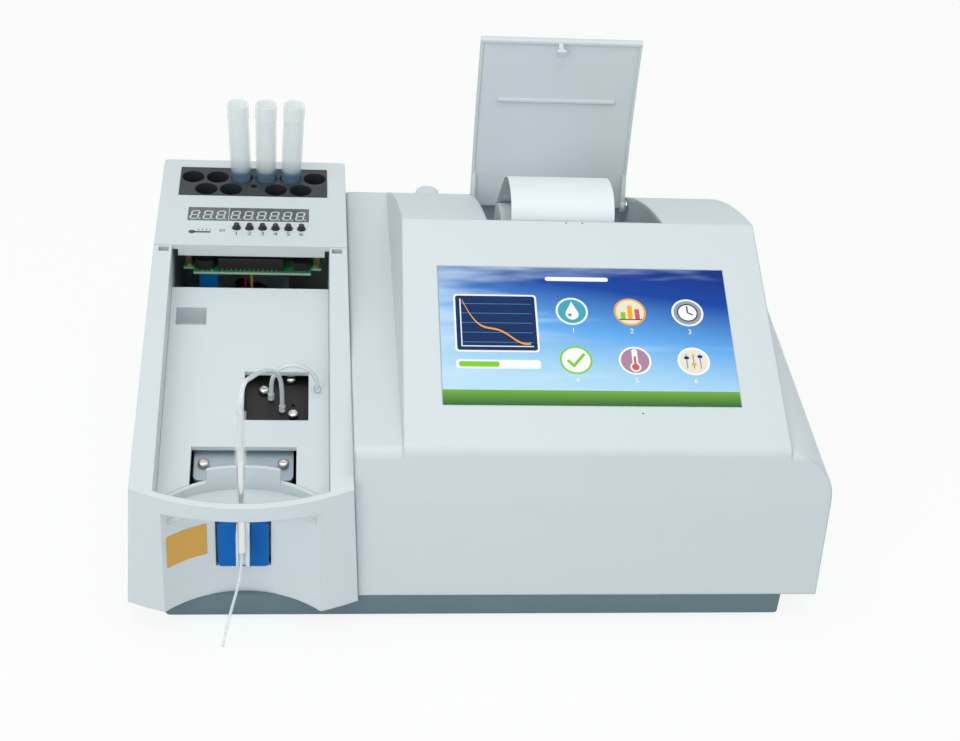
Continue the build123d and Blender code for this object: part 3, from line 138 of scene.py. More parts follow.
def moulded(name, colour, rough, grain, relief, edge, shade=0.05, coat=0.0, specular=0.5):
    """Moulded plastic: a fine grain raises the surface, wide soft clouds vary its shade, edges are round."""
    material = bpy.data.materials.new(name)
    material.use_nodes = True
    tree = material.node_tree
    shader = tree.nodes["Principled BSDF"]
    shader.inputs["Specular IOR Level"].default_value = specular
    shader.inputs["Coat Weight"].default_value = coat
    shader.inputs["Coat Roughness"].default_value = 0.12
    place = tree.nodes.new("ShaderNodeTexCoord")
    fine = tree.nodes.new("ShaderNodeTexNoise")
    fine.inputs["Scale"].default_value = grain
    fine.inputs["Detail"].default_value = 2.0
    wide = tree.nodes.new("ShaderNodeTexNoise")
    wide.inputs["Scale"].default_value = 14.0
    wide.inputs["Detail"].default_value = 4.0
    for texture in (fine, wide):
        tree.links.new(place.outputs["Object"], texture.inputs["Vector"])
    tone = tree.nodes.new("ShaderNodeMix")
    tone.data_type = "RGBA"
    tone.inputs["A"].default_value = (*[c * (1 - shade) for c in colour], 1)
    tone.inputs["B"].default_value = (*[min(1, c * (1 + shade)) for c in colour], 1)
    tree.links.new(wide.outputs["Fac"], tone.inputs["Factor"])
    tree.links.new(tone.outputs["Result"], shader.inputs["Base Color"])
    sheen = tree.nodes.new("ShaderNodeMapRange")
    sheen.inputs["From Min"].default_value = 0.3
    sheen.inputs["From Max"].default_value = 0.7
    sheen.inputs["To Min"].default_value = rough - 0.05
    sheen.inputs["To Max"].default_value = rough + 0.05
    tree.links.new(fine.outputs["Fac"], sheen.inputs["Value"])
    tree.links.new(sheen.outputs["Result"], shader.inputs["Roughness"])
    rounded = tree.nodes.new("ShaderNodeBevel")
    rounded.samples = 4
    rounded.inputs["Radius"].default_value = edge
    raised = tree.nodes.new("ShaderNodeBump")
    raised.inputs["Strength"].default_value = relief
    raised.inputs["Distance"].default_value = 0.1 * mm
    tree.links.new(fine.outputs["Fac"], raised.inputs["Height"])
    tree.links.new(rounded.outputs["Normal"], raised.inputs["Normal"])
    tree.links.new(raised.outputs["Normal"], shader.inputs["Normal"])
    return material


def coat_node(name, material):
    """Give one CAD piece its finish."""
    piece = nodes[name]
    if not piece.material_slots:
        piece.data.materials.append(material)
    for place in piece.material_slots:
        place.material = material


abs_finish = moulded("pale_abs", abs_colour, abs_rough, abs_grain, abs_relief, abs_edge, abs_shade)
for cover in ("module_housing", "head_cover", "channel_floor", "probe_cup", "printer_lid"):
    coat_node(cover, abs_finish)
cover_finish = moulded("pale_abs_cover", abs_colour, abs_rough, abs_grain, abs_relief, cover_edge, abs_shade)
coat_node("upper_housing", cover_finish)
# the printer bay is a darker copy of the pale ABS: painted shade for the well under the lid
bay_shade_finish = moulded("bay_liner_shaded", (0.50, 0.56, 0.59), 0.55, abs_grain, abs_relief, 0.4 * mm, shade=0.02)
coat_node("printer_bay", bay_shade_finish)

# ---------------------------------------------------------------- base pan
# The base is a tray of slate-grey plastic that stands back under the covers, on four rubber feet, held by
# screws from below.
slate_finish = moulded("slate_base", (0.125, 0.190, 0.218), 0.5, 1800.0, 0.3, 0.5 * mm)
coat_node("base_pan", slate_finish)
rubber_finish = moulded("black_rubber", (0.020, 0.020, 0.021), 0.78, 1500.0, 0.5, 0.4 * mm, shade=0.25)
coat_node("rubber_feet", rubber_finish)


def metal(name, colour, rough, along, stretch, edge, metallic=1.0, specular=0.5):
    """Metal with a drawn or milled grain: fine lines that run along one axis. An anodised or painted face is
    less metallic than a bare one."""
    material = bpy.data.materials.new(name)
    material.use_nodes = True
    tree = material.node_tree
    shader = tree.nodes["Principled BSDF"]
    shader.inputs["Metallic"].default_value = metallic
    shader.inputs["Specular IOR Level"].default_value = specular
    place = tree.nodes.new("ShaderNodeTexCoord")
    turn = tree.nodes.new("ShaderNodeMapping")
    turn.inputs["Scale"].default_value = [1.0 if axis == along else stretch for axis in range(3)]
    lines = tree.nodes.new("ShaderNodeTexNoise")
    lines.inputs["Scale"].default_value = 90.0
    lines.inputs["Detail"].default_value = 4.0
    tree.links.new(place.outputs["Object"], turn.inputs["Vector"])
    tree.links.new(turn.outputs["Vector"], lines.inputs["Vector"])
    tone = tree.nodes.new("ShaderNodeMix")
    tone.data_type = "RGBA"
    tone.inputs["A"].default_value = (*[c * 0.86 for c in colour], 1)
    tone.inputs["B"].default_value = (*[min(1, c * 1.1) for c in colour], 1)
    tree.links.new(lines.outputs["Fac"], tone.inputs["Factor"])
    tree.links.new(tone.outputs["Result"], shader.inputs["Base Color"])
    dull = tree.nodes.new("ShaderNodeMapRange")
    dull.inputs["To Min"].default_value = rough - 0.08
    dull.inputs["To Max"].default_value = rough + 0.08
    tree.links.new(lines.outputs["Fac"], dull.inputs["Value"])
    tree.links.new(dull.outputs["Result"], shader.inputs["Roughness"])
    rounded = tree.nodes.new("ShaderNodeBevel")
    rounded.samples = 4
    rounded.inputs["Radius"].default_value = edge
    raised = tree.nodes.new("ShaderNodeBump")
    raised.inputs["Strength"].default_value = 0.15
    raised.inputs["Distance"].default_value = 0.05 * mm
    tree.links.new(lines.outputs["Fac"], raised.inputs["Height"])
    tree.links.new(rounded.outputs["Normal"], raised.inputs["Normal"])
    tree.links.new(raised.outputs["Normal"], shader.inputs["Normal"])
    return material


along_x, along_y, along_z = range(3)
steel_finish = metal("bright_steel", (0.66, 0.67, 0.68), 0.30, along_x, 8.0, 0.2 * mm)
coat_node("cover_screws", steel_finish)

# ---------------------------------------------------------------- touch screen
# The screen's glass lies flush in the slope. Behind it the display is lit: a blue ground that pales towards
# a green strip, a chart panel, and six round keys with plain numbers.
slope_foot_y, slope_foot_z = -119.5, 113.5
slope_top_y, slope_top_z = 16.56, 166.2
slope = atan((slope_top_z - slope_foot_z) / (slope_top_y - slope_foot_y))
screen_w, screen_h = 154.08, 85.92
screen_left, screen_foot = -23.5, -92.46
foot_z = slope_foot_z + (screen_foot - slope_foot_y) * tan(slope)
strip_share = 0.105        # of the height, at the foot, is green


def add_mesh(name, points, faces, finish, slot_name, uv=None):
    """A new piece of the instrument from points in millimetres and faces, in one finish."""
    mesh = bpy.data.meshes.new(name)
    mesh.from_pydata((np.asarray(points, float) * mm).tolist(), [], [list(map(int, f)) for f in faces])
    if uv is not None:
        layer = mesh.uv_layers.new(name="flat")
        corner = np.zeros(len(mesh.loops), np.int32)
        mesh.loops.foreach_get("vertex_index", corner)
        layer.data.foreach_set("uv", np.asarray(uv, np.float32)[corner].ravel())
    mesh.materials.append(finish)
    mesh.update()
    piece = bpy.data.objects.new(name, mesh)
    bpy.context.scene.collection.objects.link(piece)
    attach(piece, "instrument")


def grid_faces(rows, columns, wrap=False, close=False):
    """Four-sided faces between the points of a grid, row after row. wrap joins the last column to the first,
    and close joins the last row to the first."""
    row = np.arange(rows if close else rows - 1)[:, None]
    column = np.arange(columns if wrap else columns - 1)[None, :]
    low, high, following = row * columns, (row + 1) % rows * columns, (column + 1) % columns
    return np.stack([low + column, low + following, high + following, high + column], axis=-1).reshape(-1, 4)


def joined(parts):
    """Several sets of points and faces as one: each part's faces count on from the points before it."""
    starts = np.cumsum([0] + [len(points) for points, _ in parts])
    counted = [np.asarray(face) + start for (_, faces), start in zip(parts, starts) for face in faces]
    return np.concatenate([points for points, _ in parts]), counted


def flat_faces(outlines):
    """Every outline as one face of its own points."""
    return joined([(outline, [np.arange(len(outline))]) for outline in outlines])


def on_screen(u, v, lift):
    """Points u across and v up the slope from the screen's lower left corner, lifted off its face."""
    u, v = np.broadcast_arrays(np.asarray(u, float), np.asarray(v, float))
    y = screen_foot + v * cos(slope) - lift * sin(slope)
    z = foot_z + v * sin(slope) + lift * cos(slope)
    return np.stack([screen_left + u, y, z], axis=-1)


def lit(name, colour):
    """One lit colour of the display, under a smooth clear face."""
    material = bpy.data.materials.new(name)
    material.use_nodes = True
    shader = material.node_tree.nodes["Principled BSDF"]
    shader.inputs["Base Color"].default_value = (*[c * 0.05 for c in colour], 1)
    shader.inputs["Roughness"].default_value = 0.3
    shader.inputs["Specular IOR Level"].default_value = 0.06
    shader.inputs["Emission Color"].default_value = (*colour, 1)
    shader.inputs["Emission Strength"].default_value = 1.0
    return material


def lit_ground():
    """The display's ground: blue that pales from the upper right to the foot, with a soft bright sweep that
    is a painted reflection of the lamps on the glass.
    """
    material = lit("lit_ground", (0.1, 0.3, 0.8))
    tree = material.node_tree
    shader = tree.nodes["Principled BSDF"]
    place = tree.nodes.new("ShaderNodeTexCoord")
    split = tree.nodes.new("ShaderNodeSeparateXYZ")
    tree.links.new(place.outputs["UV"], split.inputs["Vector"])
    slant = tree.nodes.new("ShaderNodeMath")
    slant.operation = "MULTIPLY_ADD"
    slant.inputs[1].default_value = -0.28
    tree.links.new(split.outputs["X"], slant.inputs[0])
    drop = tree.nodes.new("ShaderNodeMath")
    drop.operation = "MULTIPLY_ADD"
    drop.inputs[1].default_value = -1.0
    drop.inputs[2].default_value = 1.22
    tree.links.new(split.outputs["Y"], drop.inputs[0])
    tree.links.new(drop.outputs["Value"], slant.inputs[2])
    ramp = tree.nodes.new("ShaderNodeValToRGB")
    stops = [(0.0, (0.003, 0.022, 0.22)), (0.22, (0.006, 0.05, 0.33)), (0.54, (0.12, 0.40, 0.83)),
             (0.81, (0.38, 0.67, 0.88)), (1.0, (0.50, 0.76, 0.93))]
    while len(ramp.color_ramp.elements) < len(stops):
        ramp.color_ramp.elements.new(0.5)
    for element, (at, colour) in zip(ramp.color_ramp.elements, stops):
        element.position = at
        element.color = (*colour, 1)
    tree.links.new(slant.outputs["Value"], ramp.inputs["Fac"])
    turn = tree.nodes.new("ShaderNodeMapping")
    turn.inputs["Rotation"].default_value = (0, 0, radians(-24))
    turn.inputs["Scale"].default_value = (1.1, 4.2, 1)
    tree.links.new(place.outputs["UV"], turn.inputs["Vector"])
    # painted reflection on the glass: a soft pale cloudy sweep, paler to the left, laid over the blue
    glare_haze = tree.nodes.new("ShaderNodeTexNoise")
    glare_haze.inputs["Scale"].default_value = 1.3
    glare_haze.inputs["Detail"].default_value = 3.0
    glare_haze.inputs["Roughness"].default_value = 0.55
    tree.links.new(turn.outputs["Vector"], glare_haze.inputs["Vector"])
    glare_share = tree.nodes.new("ShaderNodeMapRange")
    glare_share.interpolation_type = "SMOOTHSTEP"
    glare_share.inputs["From Min"].default_value = 0.36
    glare_share.inputs["From Max"].default_value = 0.66
    glare_share.inputs["To Max"].default_value = 0.72
    aside = tree.nodes.new("ShaderNodeMath")
    aside.operation = "MULTIPLY_ADD"
    aside.inputs[1].default_value = -0.26
    tree.links.new(split.outputs["X"], aside.inputs[0])
    tree.links.new(glare_haze.outputs["Fac"], aside.inputs[2])
    tree.links.new(aside.outputs["Value"], glare_share.inputs["Value"])
    blend = tree.nodes.new("ShaderNodeMix")
    blend.data_type = "RGBA"
    blend.inputs["B"].default_value = (0.62, 0.80, 0.95, 1)
    tree.links.new(glare_share.outputs["Result"], blend.inputs["Factor"])
    tree.links.new(ramp.outputs["Color"], blend.inputs["A"])
    strip = tree.nodes.new("ShaderNodeMath")
    strip.operation = "LESS_THAN"
    strip.inputs[1].default_value = strip_share
    tree.links.new(split.outputs["Y"], strip.inputs[0])
    grass = tree.nodes.new("ShaderNodeMix")
    grass.data_type = "RGBA"
    grass.inputs["A"].default_value = (0.035, 0.13, 0.002, 1)
    grass.inputs["B"].default_value = (0.18, 0.44, 0.01, 1)
    rise = tree.nodes.new("ShaderNodeMapRange")
    rise.inputs["From Max"].default_value = strip_share
    tree.links.new(split.outputs["Y"], rise.inputs["Value"])
    tree.links.new(rise.outputs["Result"], grass.inputs["Factor"])
    whole = tree.nodes.new("ShaderNodeMix")
    whole.data_type = "RGBA"
    tree.links.new(strip.outputs["Value"], whole.inputs["Factor"])
    tree.links.new(blend.outputs["Result"], whole.inputs["A"])
    tree.links.new(grass.outputs["Result"], whole.inputs["B"])
    tree.links.new(whole.outputs["Result"], shader.inputs["Emission Color"])
    return material


ground_lift, ground_rows, ground_columns = 0.02, 9, 13
grid_u, grid_v = np.meshgrid(np.linspace(0, screen_w, ground_columns), np.linspace(0, screen_h, ground_rows))
ground_points = on_screen(grid_u.ravel(), grid_v.ravel(), ground_lift)
ground_uv = np.stack([grid_u.ravel() / screen_w, grid_v.ravel() / screen_h], axis=-1)
add_mesh("display_ground", ground_points, grid_faces(ground_rows, ground_columns), lit_ground(),
         "screen_glass", uv=ground_uv)
glass_edge = moulded("glass_edge", (0.02, 0.03, 0.05), 0.1, 400.0, 0.02, 0.2 * mm, shade=0.1, coat=1.0)
coat_node("touch_panel", glass_edge)
coat_node("lcd_module", steel_finish)

lit_colours = {
    "white": (0.90, 0.93, 0.95), "cream": (0.80, 0.78, 0.66), "amber": (0.93, 0.40, 0.02),
    "green": (0.22, 0.62, 0.02), "red": (0.62, 0.12, 0.10), "navy": (0.01, 0.03, 0.12),
    "teal": (0.06, 0.38, 0.52), "grey": (0.30, 0.34, 0.38), "rose": (0.42, 0.25, 0.35),
}
lit_finish = {name: lit("lit_" + name, colour) for name, colour in lit_colours.items()}
shapes = {name: [] for name in lit_colours}


def disc(x, y, r, start=0.0, stop=360.0, n=40):
    """Points round a centre at radius r, from start to stop in degrees."""
    a = np.radians(np.linspace(start, stop, n, endpoint=abs(stop - start) < 360))
    return np.stack([x + r * np.cos(a), y + r * np.sin(a)], axis=-1)


def arc_band(x, y, r, thick, start, stop, n=40):
    """A band of even thickness round a centre: out along one radius and back along a smaller one."""
    return np.concatenate([disc(x, y, r, start, stop, n), disc(x, y, r - thick, stop, start, n)])


def block(x, y, w, h, r=0.0):
    """A rectangle about x, y with rounded corners: four quarter circles set out at its corners."""
    if r <= 0:
        return np.array([(x - w / 2, y - h / 2), (x + w / 2, y - h / 2), (x + w / 2, y + h / 2),
                         (x - w / 2, y + h / 2)])
    corners = [(1, 1, 0), (-1, 1, 90), (-1, -1, 180), (1, -1, 270)]
    return np.concatenate([
        disc(x + sx * (w / 2 - r), y + sy * (h / 2 - r), r, a, a + 90, 8) for sx, sy, a in corners])


def stroke(x0, y0, x1, y1, w):
    """A straight bar from one point to another, w wide."""
    run = np.array([x1 - x0, y1 - y0], float)
    side = np.array([-run[1], run[0]]) / np.hypot(*run) * w / 2
    a, b = np.array([x0, y0]), np.array([x1, y1])
    return np.array([a - side, b - side, b + side, a + side])


first_layer, layer_step = 0.03, 0.015


def draw(colour, outline, level_no):
    """Keep one flat shape of the display, in one colour, on one of the thin layers over the ground."""
    outline = np.asarray(outline, float)
    shapes[colour].append(on_screen(outline[:, 0], outline[:, 1], first_layer + layer_step * level_no))


# heading bar, a framed chart with a falling curve, and a bar that is half full below the chart
chart_u, chart_v, chart_w, chart_h = 29.5, 50.0, 44.0, 36.0
axis_u, axis_v, axis_end = 11.0, 35.5, 48.5
draw("white", block(74, 78.6, 34, 2.6, 1.3), 0)
draw("white", block(chart_u, chart_v, chart_w, chart_h, 2.0), 0)
draw("navy", block(chart_u, chart_v, chart_w - 2.0, chart_h - 2.0, 1.4), 1)
for k in range(5):
    line_v = axis_v + 2.5 + 6 * k
    draw("teal", stroke(axis_u, line_v, axis_end, line_v, 0.25), 2)
curve_u = np.linspace(axis_u + 1, axis_end - 1.5, 30)
curve_v = axis_v + 1.5 + 27 * np.exp(-(curve_u - curve_u[0]) / 13) + 2.2 * np.sin(curve_u / 4.0)
curve_thick = 1.1
curve_up = np.stack([curve_u, curve_v + curve_thick / 2], axis=-1)
curve_down = np.stack([curve_u[::-1], curve_v[::-1] - curve_thick / 2], axis=-1)
draw("amber", np.concatenate([curve_up, curve_down]), 3)
draw("white", stroke(axis_u, axis_v, axis_u, 65, 0.6), 3)
draw("white", stroke(axis_u - 0.2, axis_v, axis_end, axis_v, 0.6), 3)
bar_v = 24.5
draw("white", block(chart_u, bar_v, chart_w, 5.4, 1.6), 0)
draw("green", block(19.5, bar_v, 21, 3.2, 1.2), 1)

# six keys, three across and two down, each with its sign drawn about the key's middle
key_at = [(u, v) for v in (58.0, 27.5) for u in (70.0, 101.0, 132.0)]
key_r, key_rim = 8.6, 1.1
ring_colour = ("white", "amber", "white", "green", "white", "white")
face_colour = ("teal", "cream", "grey", "white", "rose", "cream")
for (u, v), ring, face in zip(key_at, ring_colour, face_colour):
    draw(ring, disc(u, v, key_r), 0)
    draw(face, disc(u, v, key_r - key_rim), 1)
# 1: a drop
u, v = key_at[0]
draw("white", np.concatenate([disc(u, v - 1.8, 3.5, -205, 25, 30), [[u, v + 6.0]]]), 2)
draw("teal", disc(u - 1.2, v - 2.4, 1.0), 3)
# 2: three bars
u, v = key_at[1]
for k, (tall, colour) in enumerate(((4.5, "green"), (8.6, "amber"), (6.4, "red"))):
    draw(colour, block(u - 3.8 + 3.8 * k, v - 4.6 + tall / 2, 2.6, tall), 2)
draw("navy", stroke(u - 6.2, v - 4.8, u + 6.2, v - 4.8, 0.6), 2)
# 3: a clock
u, v = key_at[2]
draw("white", disc(u, v, 5.6), 2)
draw("navy", arc_band(u, v, 5.6, 0.7, 0, 359), 3)
draw("navy", stroke(u, v, u, v + 4.2, 0.8), 3)
draw("navy", stroke(u, v, u + 2.8, v - 1.4, 0.8), 3)
# 4: a tick
u, v = key_at[3]
draw("green", stroke(u - 4.4, v - 0.1, u - 1.0, v - 3.9, 1.7), 2)
draw("green", stroke(u - 1.6, v - 3.9, u + 4.6, v + 3.9, 1.7), 2)
# 5: a thermometer
u, v = key_at[4]
draw("white", block(u, v + 1.9, 3.0, 10.6, 1.5), 2)
draw("white", disc(u, v - 3.9, 2.9), 2)
draw("red", disc(u, v - 3.9, 2.0), 3)
draw("red", block(u, v - 0.5, 1.2, 6.4), 3)
# 6: three sliding controls
u, v = key_at[5]
for k, knob in enumerate((2.1, -1.9, 2.9)):
    rod = u + 3.6 * (k - 1)
    draw("grey", stroke(rod, v - 4.5, rod, v + 4.5, 0.7), 2)
    draw("amber" if k == 1 else "navy", block(rod, v + knob, 2.6, 1.7, 0.5), 3)

for colour, outlines in shapes.items():
    add_mesh("display_" + colour, *flat_faces(outlines), lit_finish[colour], "screen_glass")

letter_share = 1.38        # a font's size over the height of its digits


def lettering(name, words, size, at, across_dir, up_dir, finish, slot_name):
    """Plain numbers as a flat mesh: size high, centred on a point, along two directions."""
    text = bpy.data.curves.new(name + "_text", "FONT")
    text.body = words
    text.size = size * letter_share
    text.align_x = "CENTER"
    text.align_y = "CENTER"
    holder = bpy.data.objects.new(name + "_text", text)
    bpy.context.scene.collection.objects.link(holder)
    bpy.context.view_layer.update()
    flat = bpy.data.meshes.new_from_object(holder)
    points = np.zeros(len(flat.vertices) * 3)
    flat.vertices.foreach_get("co", points)
    points = points.reshape(-1, 3)
    faces = [list(p.vertices) for p in flat.polygons]
    bpy.data.objects.remove(holder)
    along, upright = points[:, :1] * np.asarray(across_dir), points[:, 1:2] * np.asarray(up_dir)
    add_mesh(name, np.asarray(at, float) + along + upright, faces, finish, slot_name)


to_right, slope_up = (1, 0, 0), (0.0, cos(slope), sin(slope))
for number, (u, v) in enumerate(key_at, 1):
    at = on_screen(u, v - key_r - 3.6, 0.05)
    lettering("display_number_%d" % number, str(number), 3.0, at, to_right, slope_up, lit_finish["white"],
              "screen_glass")

# three tiny pin holes show in the slope as dark discs, painted shade: two at its crest and one under the
# screen
hole_shade_finish = moulded("hole_shade", (0.02, 0.02, 0.02), 0.7, 900.0, 0.1, 0.1 * mm)
hole_r = 0.45
holes = []
for hx, hy in ((47.7, 15.6), (56.6, 15.6), (78.6, -96.5)):
    round_hole = disc(hx - screen_left, (hy - screen_foot) / cos(slope), hole_r, n=12)
    holes.append(on_screen(round_hole[:, 0], round_hole[:, 1], ground_lift))
add_mesh("pin_hole_shade", *flat_faces(holes), hole_shade_finish, "black_plastic")

# ---------------------------------------------------------------- printer
# A receipt printer lies under the lid: a black frame with a rubber feed roller, a paper roll on a spindle,
# and the paper's free end, which arches up out of the bay.
black_finish = moulded("black_plastic", (0.018, 0.018, 0.020), 0.42, 1600.0, 0.2, 0.3 * mm, shade=0.2)
coat_node("printer_frame", black_finish)
coat_node("platen_roller", rubber_finish)
paper_finish = moulded("thermal_paper", (0.79, 0.84, 0.87), 0.6, 900.0, 0.08, 0.1 * mm, shade=0.012)
coat_node("paper_roll", paper_finish)
coat_node("paper_strip", paper_finish)

# ---------------------------------------------------------------- sample module fittings
# In the channel's windows lie a black anodised flow cell block and the satin bracket of the probe, each
# held by small socket screws. A blue press plate surrounds the light strip that guides the probe.
anodised_black = metal("black_anodised", (0.010, 0.010, 0.011), 0.42, along_y, 6.0, 0.3 * mm, metallic=0.1,
                       specular=0.3)
coat_node("flow_cell_block", anodised_black)
satin_plate = metal("satin_plate", (0.36, 0.44, 0.49), 0.5, along_x, 6.0, 0.3 * mm, metallic=0.25)
coat_node("bracket_plate", satin_plate)
screw_finish = metal("nickel_screws", (0.70, 0.68, 0.65), 0.2, along_z, 3.0, 0.4 * mm)
coat_node("small_screws", screw_finish)
needle_finish = metal("needle_steel", (0.90, 0.89, 0.87), 0.24, along_z, 14.0, 0.1 * mm)
coat_node("probe_needle", needle_finish)
coat_node("probe_sleeve", clear_tube("clear_sleeve", (0.90, 0.95, 0.96), 0.12, 0.0, 0.03, cover=0.22))
coat_node("fluid_fittings", clear_tube("fitting_plastic", (0.88, 0.92, 0.94), 0.2, 0.5, 0.05))
blue_finish = moulded("blue_press_plate", (0.0, 0.125, 0.46), 0.45, 1600.0, 0.2, 0.4 * mm, specular=0.15)
coat_node("trigger_plate", blue_finish)
guide_finish = moulded("light_guide", (0.66, 0.76, 0.80), 0.4, 1600.0, 0.15, 0.4 * mm, shade=0.03)
coat_node("probe_guide", guide_finish)
coat_node("trigger_switch", black_finish)
sticker_finish = moulded("amber_vinyl", (0.665, 0.365, 0.055), 0.36, 1200.0, 0.06, 0.1 * mm)
coat_node("side_label", sticker_finish)

# Each screw is a pan head with a six-sided socket. The heads are level; the CAD has them as plain pins.
rail_front_y, rail_front_z, rail_slope, channel_deep = -124.6, 95.7, tan(radians(12.0)), 19.0
cell_drop, bracket_drop = 7.5, 6.0
cell_screws = [(-114.7, -36.4), (-100.4, -28.6), (-99.0, -52.7)]
bracket_screws = [(-144.7, -86.9), (-103.7, -86.9)]
head_seat, head_wide, head_steps = 0.75, 2.95, 24


def floor_at(y):
    """Height of the channel floor at depth y: it rises with the rails, channel_deep below them."""
    return rail_front_z + (y - rail_front_y) * rail_slope - channel_deep


def pan_head(x, y, z, wide):
    """A pan head about x, y on a seat at z: rings of a profile, the inner ones six-sided for the socket."""
    turn_by = np.linspace(0, 2 * np.pi, head_steps, endpoint=False)
    six = cos(radians(30)) / np.cos((turn_by + radians(30)) % radians(60) - radians(30))
    rings = [(1.00, 0.0, 0), (1.00, 0.9, 0), (0.93, 1.5, 0), (0.78, 1.95, 0), (0.60, 2.15, 0),
             (0.50, 2.15, 1), (0.47, 1.62, 1), (0.01, 1.55, 1)]
    rows = []
    for share, lift, sided in rings:
        r = wide * share * (six if sided else np.ones(head_steps))
        level_by = np.full(head_steps, z + lift)
        rows.append(np.stack([x + r * np.cos(turn_by), y + r * np.sin(turn_by), level_by], axis=-1))
    return np.concatenate(rows), grid_faces(len(rings), head_steps, wrap=True)


heads = [pan_head(x, y, floor_at(y) - drop + head_seat, head_wide)
         for places, drop in ((cell_screws, cell_drop), (bracket_screws, bracket_drop)) for x, y in places]
add_mesh("screw_heads", *joined(heads), screw_finish, "chrome")

# A thin pale strip closes the seam between the module and the main cover. It leans with their sides.
seam_foot, seam_top, seam_lean = 18.0, 113.2, tan(radians(3.0))
seam_mid, seam_mid_z, seam_thick = -63.95, 17.3, 0.24
seam_y = (-119.0, 131.0)
seam_points = [(seam_mid + dx - (z - seam_mid_z) * seam_lean, y, z)
               for y in seam_y for z in (seam_foot, seam_top) for dx in (-seam_thick / 2, seam_thick / 2)]
seam_faces = [(0, 2, 3, 1), (4, 5, 7, 6), (0, 4, 6, 2), (1, 3, 7, 5), (2, 6, 7, 3), (0, 1, 5, 4)]
add_mesh("seam_strip", seam_points, seam_faces, abs_finish, "housing_plastic")

# A small spring sits on the lid's right hinge pin: a wire wound round the pin's axis.
pin_y, pin_z, pin_end, coil_long = 112.0, 119.0, 99.6, 1.1
coil_r, coil_wire, coil_turns, wire_steps = 3.1, 0.38, 4, 8
coil_by = np.linspace(0, 2 * np.pi * coil_turns, 24 * coil_turns + 1)[:, None]
coil_round = np.linspace(0, 2 * np.pi, wire_steps, endpoint=False)[None, :]
coil_out = coil_r + coil_wire * np.cos(coil_round)
coil_x = pin_end + coil_long * coil_by / coil_by.max() + coil_wire * np.sin(coil_round)
coil_y, coil_z = pin_y + coil_out * np.cos(coil_by), pin_z + coil_out * np.sin(coil_by)
coil_points = np.stack([coil_x, coil_y, coil_z], axis=-1)
add_mesh("hinge_spring", coil_points.reshape(-1, 3), grid_faces(len(coil_by), wire_steps, wrap=True),
         screw_finish, "chrome")

# ---------------------------------------------------------------- incubator head
# The heater block is dark anodised aluminium with ten bored wells; three translucent tubes stand in it.
# Their feet have a painted blue-grey shade, for the wells' shade and the dark block seen through them.
# In front of the block are two numeral modules and six push keys.
block_finish = metal("dark_anodised", (0.040, 0.049, 0.054), 0.5, along_x, 4.0, 0.3 * mm, metallic=0.35,
                     specular=0.3)
coat_node("heater_block", block_finish)
frost, well_shade_tone = (0.86, 0.92, 0.92), (0.16, 0.30, 0.43)
well_shade_from, well_shade_to = 0.1365, 0.1395


def frosted_tube():
    """Frosted clear plastic, blue-grey at the foot in painted shade of the well and the dark block seen
    through: the tone changes over 3 mm of the tube's height.
    """
    material = clear_tube("frosted_tube", frost, 0.32, 0.0, 0.06, cover=0.36)
    tree = material.node_tree
    place = tree.nodes.new("ShaderNodeTexCoord")
    split = tree.nodes.new("ShaderNodeSeparateXYZ")
    rise = tree.nodes.new("ShaderNodeMapRange")
    rise.inputs["From Min"].default_value = well_shade_from
    rise.inputs["From Max"].default_value = well_shade_to
    tone = tree.nodes.new("ShaderNodeMix")
    tone.data_type = "RGBA"
    tone.inputs["A"].default_value = (*well_shade_tone, 1)
    tone.inputs["B"].default_value = (*frost, 1)
    tree.links.new(place.outputs["Object"], split.inputs["Vector"])
    tree.links.new(split.outputs["Z"], rise.inputs["Value"])
    tree.links.new(rise.outputs["Result"], tone.inputs["Factor"])
    tree.links.new(tone.outputs["Result"], tree.nodes["Principled BSDF"].inputs["Base Color"])
    return material


tube_plastic = frosted_tube()
for number in range(1, 4):
    coat_node("test_tube_%d" % number, tube_plastic)
for number in range(1, 7):
    coat_node("button_%d" % number, black_finish)
window_finish = moulded("smoked_window", (0.055, 0.062, 0.066), 0.22, 900.0, 0.03, 0.2 * mm, shade=0.08,
                        coat=0.6)
coat_node("display_window", window_finish)
coat_node("digit_modules", black_finish)
led_finish = moulded("led_lens", (0.42, 0.46, 0.47), 0.2, 900.0, 0.03, 0.3 * mm, coat=0.5)
coat_node("indicator_led", led_finish)

head_top, print_lift = 131.15, 0.03
segment_finish = moulded("numeral_segments", (0.55, 0.64, 0.63), 0.4, 900.0, 0.02, 0.1 * mm)
digit_w, digit_h, bar_w, lean = 4.1, 8.4, 0.95, tan(radians(8))
digit_pitch, digit_y = 7.35, 73.3
digit_groups = ((-156.2, 3), (-133.2, 6))


def on_head(flat, lift=print_lift):
    """Points of a flat drawing laid on the head plate's top, lifted off it."""
    return np.column_stack([flat, np.full(len(flat), head_top + lift)])


def numeral(x, y):
    """The seven bars and the point of one numeral: thin hexagons along the sides of two stacked squares."""
    half, tall = digit_w / 2, digit_h / 2
    runs = [(-half, tall, half, tall), (-half, 0, half, 0), (-half, -tall, half, -tall),
            (-half, 0, -half, tall), (half, 0, half, tall), (-half, -tall, -half, 0), (half, -tall, half, 0)]
    bars = []
    for x0, y0, x1, y1 in runs:
        run = np.array([x1 - x0, y1 - y0]) / np.hypot(x1 - x0, y1 - y0)
        side = np.array([-run[1], run[0]]) * bar_w / 2
        a = np.array([x0, y0]) + run * (bar_w * 0.62)
        b = np.array([x1, y1]) - run * (bar_w * 0.62)
        tip = run * bar_w / 2
        bars.append(np.array([a - tip, a - side, b - side, b + tip, b + side, a + side]))
    bars.append(disc(half + 1.25, -tall, 0.55, n=12))
    return [on_head(np.column_stack([x + bar[:, 0] + bar[:, 1] * lean, y + bar[:, 1]])) for bar in bars]


